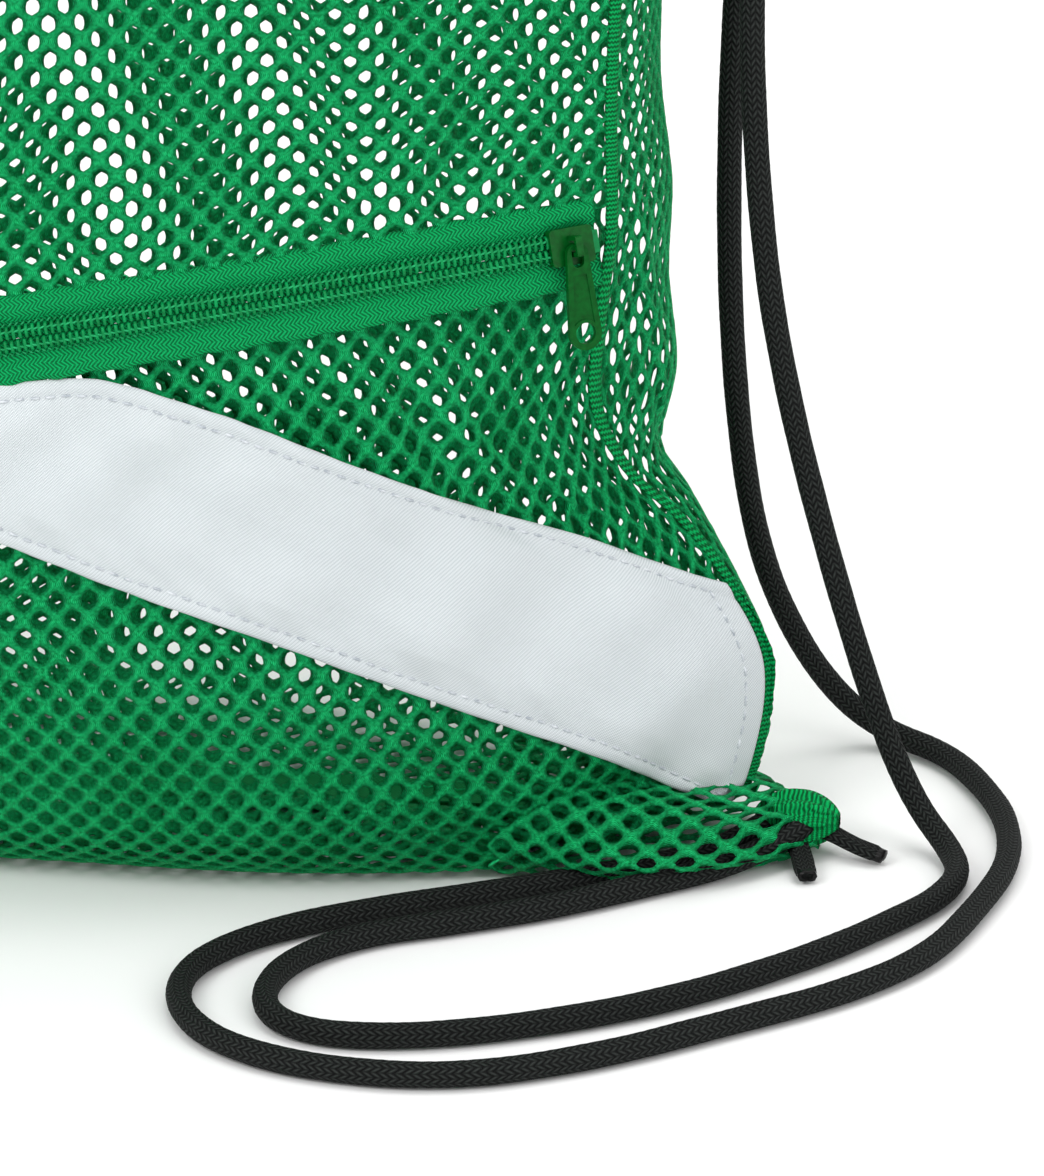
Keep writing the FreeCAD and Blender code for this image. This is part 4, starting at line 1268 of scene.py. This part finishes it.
def make_channel(side, name):
    """One half of the mouth's hem: a sewn tube with small gathers along it."""
    bow = MOUTH_DEPTH - MOUTH_SEAM
    radius = arc_radius(CHANNEL_HALF_WIDTH, bow)
    reach = math.asin(CHANNEL_HALF_WIDTH / radius)
    rows, columns = 320, 36
    round_half, flat_half = CHANNEL_DEPTH / 2, CHANNEL_HEIGHT / 2 - CHANNEL_DEPTH / 2
    outline = []
    for j in range(columns):
        turn = TURN * j / columns
        outline.append((
            round_half * math.cos(turn),
            round_half * math.sin(turn) + math.copysign(flat_half, math.sin(turn)),
        ))
    points, flat = [], []
    for i in range(rows):
        angle = -reach + 2 * reach * i / (rows - 1)
        along = angle * radius
        for j, (out, up) in enumerate(outline):
            gather = 0.35 * math.sin(along * 0.93 + 0.8 * math.sin(along * 0.11))
            gather += 0.2 * math.sin(along * 0.41)
            low = 1 if up > -CHANNEL_HEIGHT * 0.3 else 0.3
            r = radius + out * (1 + 0.05 * gather) + gather * low * (1 if out > 0 else 0.4)
            points.append((
                r * math.sin(angle) * (1 if side < 0 else -1),
                side * (r * math.cos(angle) - radius + MOUTH_DEPTH),
                CHANNEL_MIDDLE + up,
            ))
            flat.append((along, j * CHANNEL_STEP))
    faces = grid_faces(rows, columns, wrap=True)
    corners = grid_corners(flat, rows, columns, wrap=columns * CHANNEL_STEP)
    piece = make_piece(f"hem_channel_{name}_cloth", points, faces, "seam_tape", {"fabric": corners})
    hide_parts(f"hem_channel_{name}")
    angles = np.linspace(-reach * 0.99, reach * 0.99, 400)
    r = radius + round_half + 0.1
    line = np.stack([
        r * np.sin(angles), side * (r * np.cos(angles) - radius + MOUTH_DEPTH),
        np.full_like(angles, CHANNEL_BOTTOM + 4.2),
    ], axis=1)
    normals = np.stack([np.sin(angles), side * np.cos(angles), np.zeros_like(angles)], axis=1)
    stitch_line(f"hem_stitches_{name}", line, normals, "thread", "thread", HEM_PITCH, 1.2, 0.26)


make_channel(-1, "front")
make_channel(1, "back")


TACK_TURN = 11
TACK_REACH = 150
TACK_STITCHES = 13
TACK_STEP = 0.55


def make_bar_tacks():
    """Dense zigzag stitches that hold the ends of the channels to the panels below."""
    centres, ways, ups = [], [], []
    for x in (-1, 1):
        for y in (-1, 1):
            turn = math.radians(-x * y * TACK_TURN)
            way = np.array([math.cos(turn), math.sin(turn), 0])
            out = np.array([-math.sin(turn) * y, math.cos(turn) * y, 0])
            middle = np.array([x * TACK_REACH, y * (MOUTH_SEAM + 3.3), CHANNEL_BOTTOM - 2.1])
            for k in range(TACK_STITCHES):
                slope = 0.35 if k % 2 else -0.35
                centres.append(middle + way * TACK_STEP * (k - (TACK_STITCHES - 1) / 2) + out * 0.5)
                ways.append(unit(np.array([0, 0, 1.0]) + way * slope))
                ups.append(out)
    piece = small_bars("bar_tack_stitches", centres, ways, ups, 1.35, 0.22, 0.3, "thread")
    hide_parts("channel_bar_tacks")


make_bar_tacks()

# ---- CAD pieces that stay ----
for node in ("slider_body", "slider_bail", "pull_tab"):
    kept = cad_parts[node]
    for material_slot in kept.material_slots:
        material_slot.material = MATERIALS["slider_paint"]
    rounding = kept.modifiers.new("rounding", "BEVEL")
    rounding.width = 0.18 * MM
    rounding.segments = 2
    rounding.limit_method = "ANGLE"
for node in ("zipper_stop_right", "zipper_stop_left"):
    for material_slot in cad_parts[node].material_slots:
        material_slot.material = MATERIALS["zip_coil"]


# ---- Studio ----
FLOOR_HALF = 4.0
FLOOR_DROP = 0.2
WORLD_LIGHT = 0.75
# name, place and aim in metres, size in metres, power in watts
LIGHTS = [
    ("key", (-0.9, -1.5, 1.6), (0.05, 0, 0.15), 1.0, 20),
    ("fill", (1.5, -1.0, 1.0), (0.1, 0, 0.12), 1.2, 9),
    ("top", (0.1, 0.3, 1.9), (0.0, 0, 0.1), 1.4, 16),
]


def make_studio():
    s = Shader("floor", 0.85)
    place = s.node("ShaderNodeTexCoord").outputs["Object"]
    tone = s.noise(place, 3.0, 2.0)
    s.colour(s.ramp(tone, [(0.3, linear(244, 244, 243)), (0.7, linear(248, 248, 248))]))
    data = bpy.data.meshes.new("floor")
    half = FLOOR_HALF
    data.from_pydata(
        [(-half, -half, 0), (half, -half, 0), (half, half, 0), (-half, half, 0)], [], [(0, 1, 2, 3)]
    )
    data.materials.append(s.material)
    floor = add_object("floor", data)
    floor.location.z = -FLOOR_DROP * MM
    world = bpy.data.worlds.new("studio")
    world.use_nodes = True
    world.node_tree.nodes["Background"].inputs[0].default_value = (1, 1, 1, 1)
    world.node_tree.nodes["Background"].inputs[1].default_value = WORLD_LIGHT
    bpy.context.scene.world = world
    for name, place, aim, size, power in LIGHTS:
        light_data = bpy.data.lights.new(name, "AREA")
        light_data.size = size
        light_data.energy = power
        aim_at(add_object(name, light_data), place, aim)
    bpy.context.scene.view_settings.view_transform = "Standard"


make_studio()
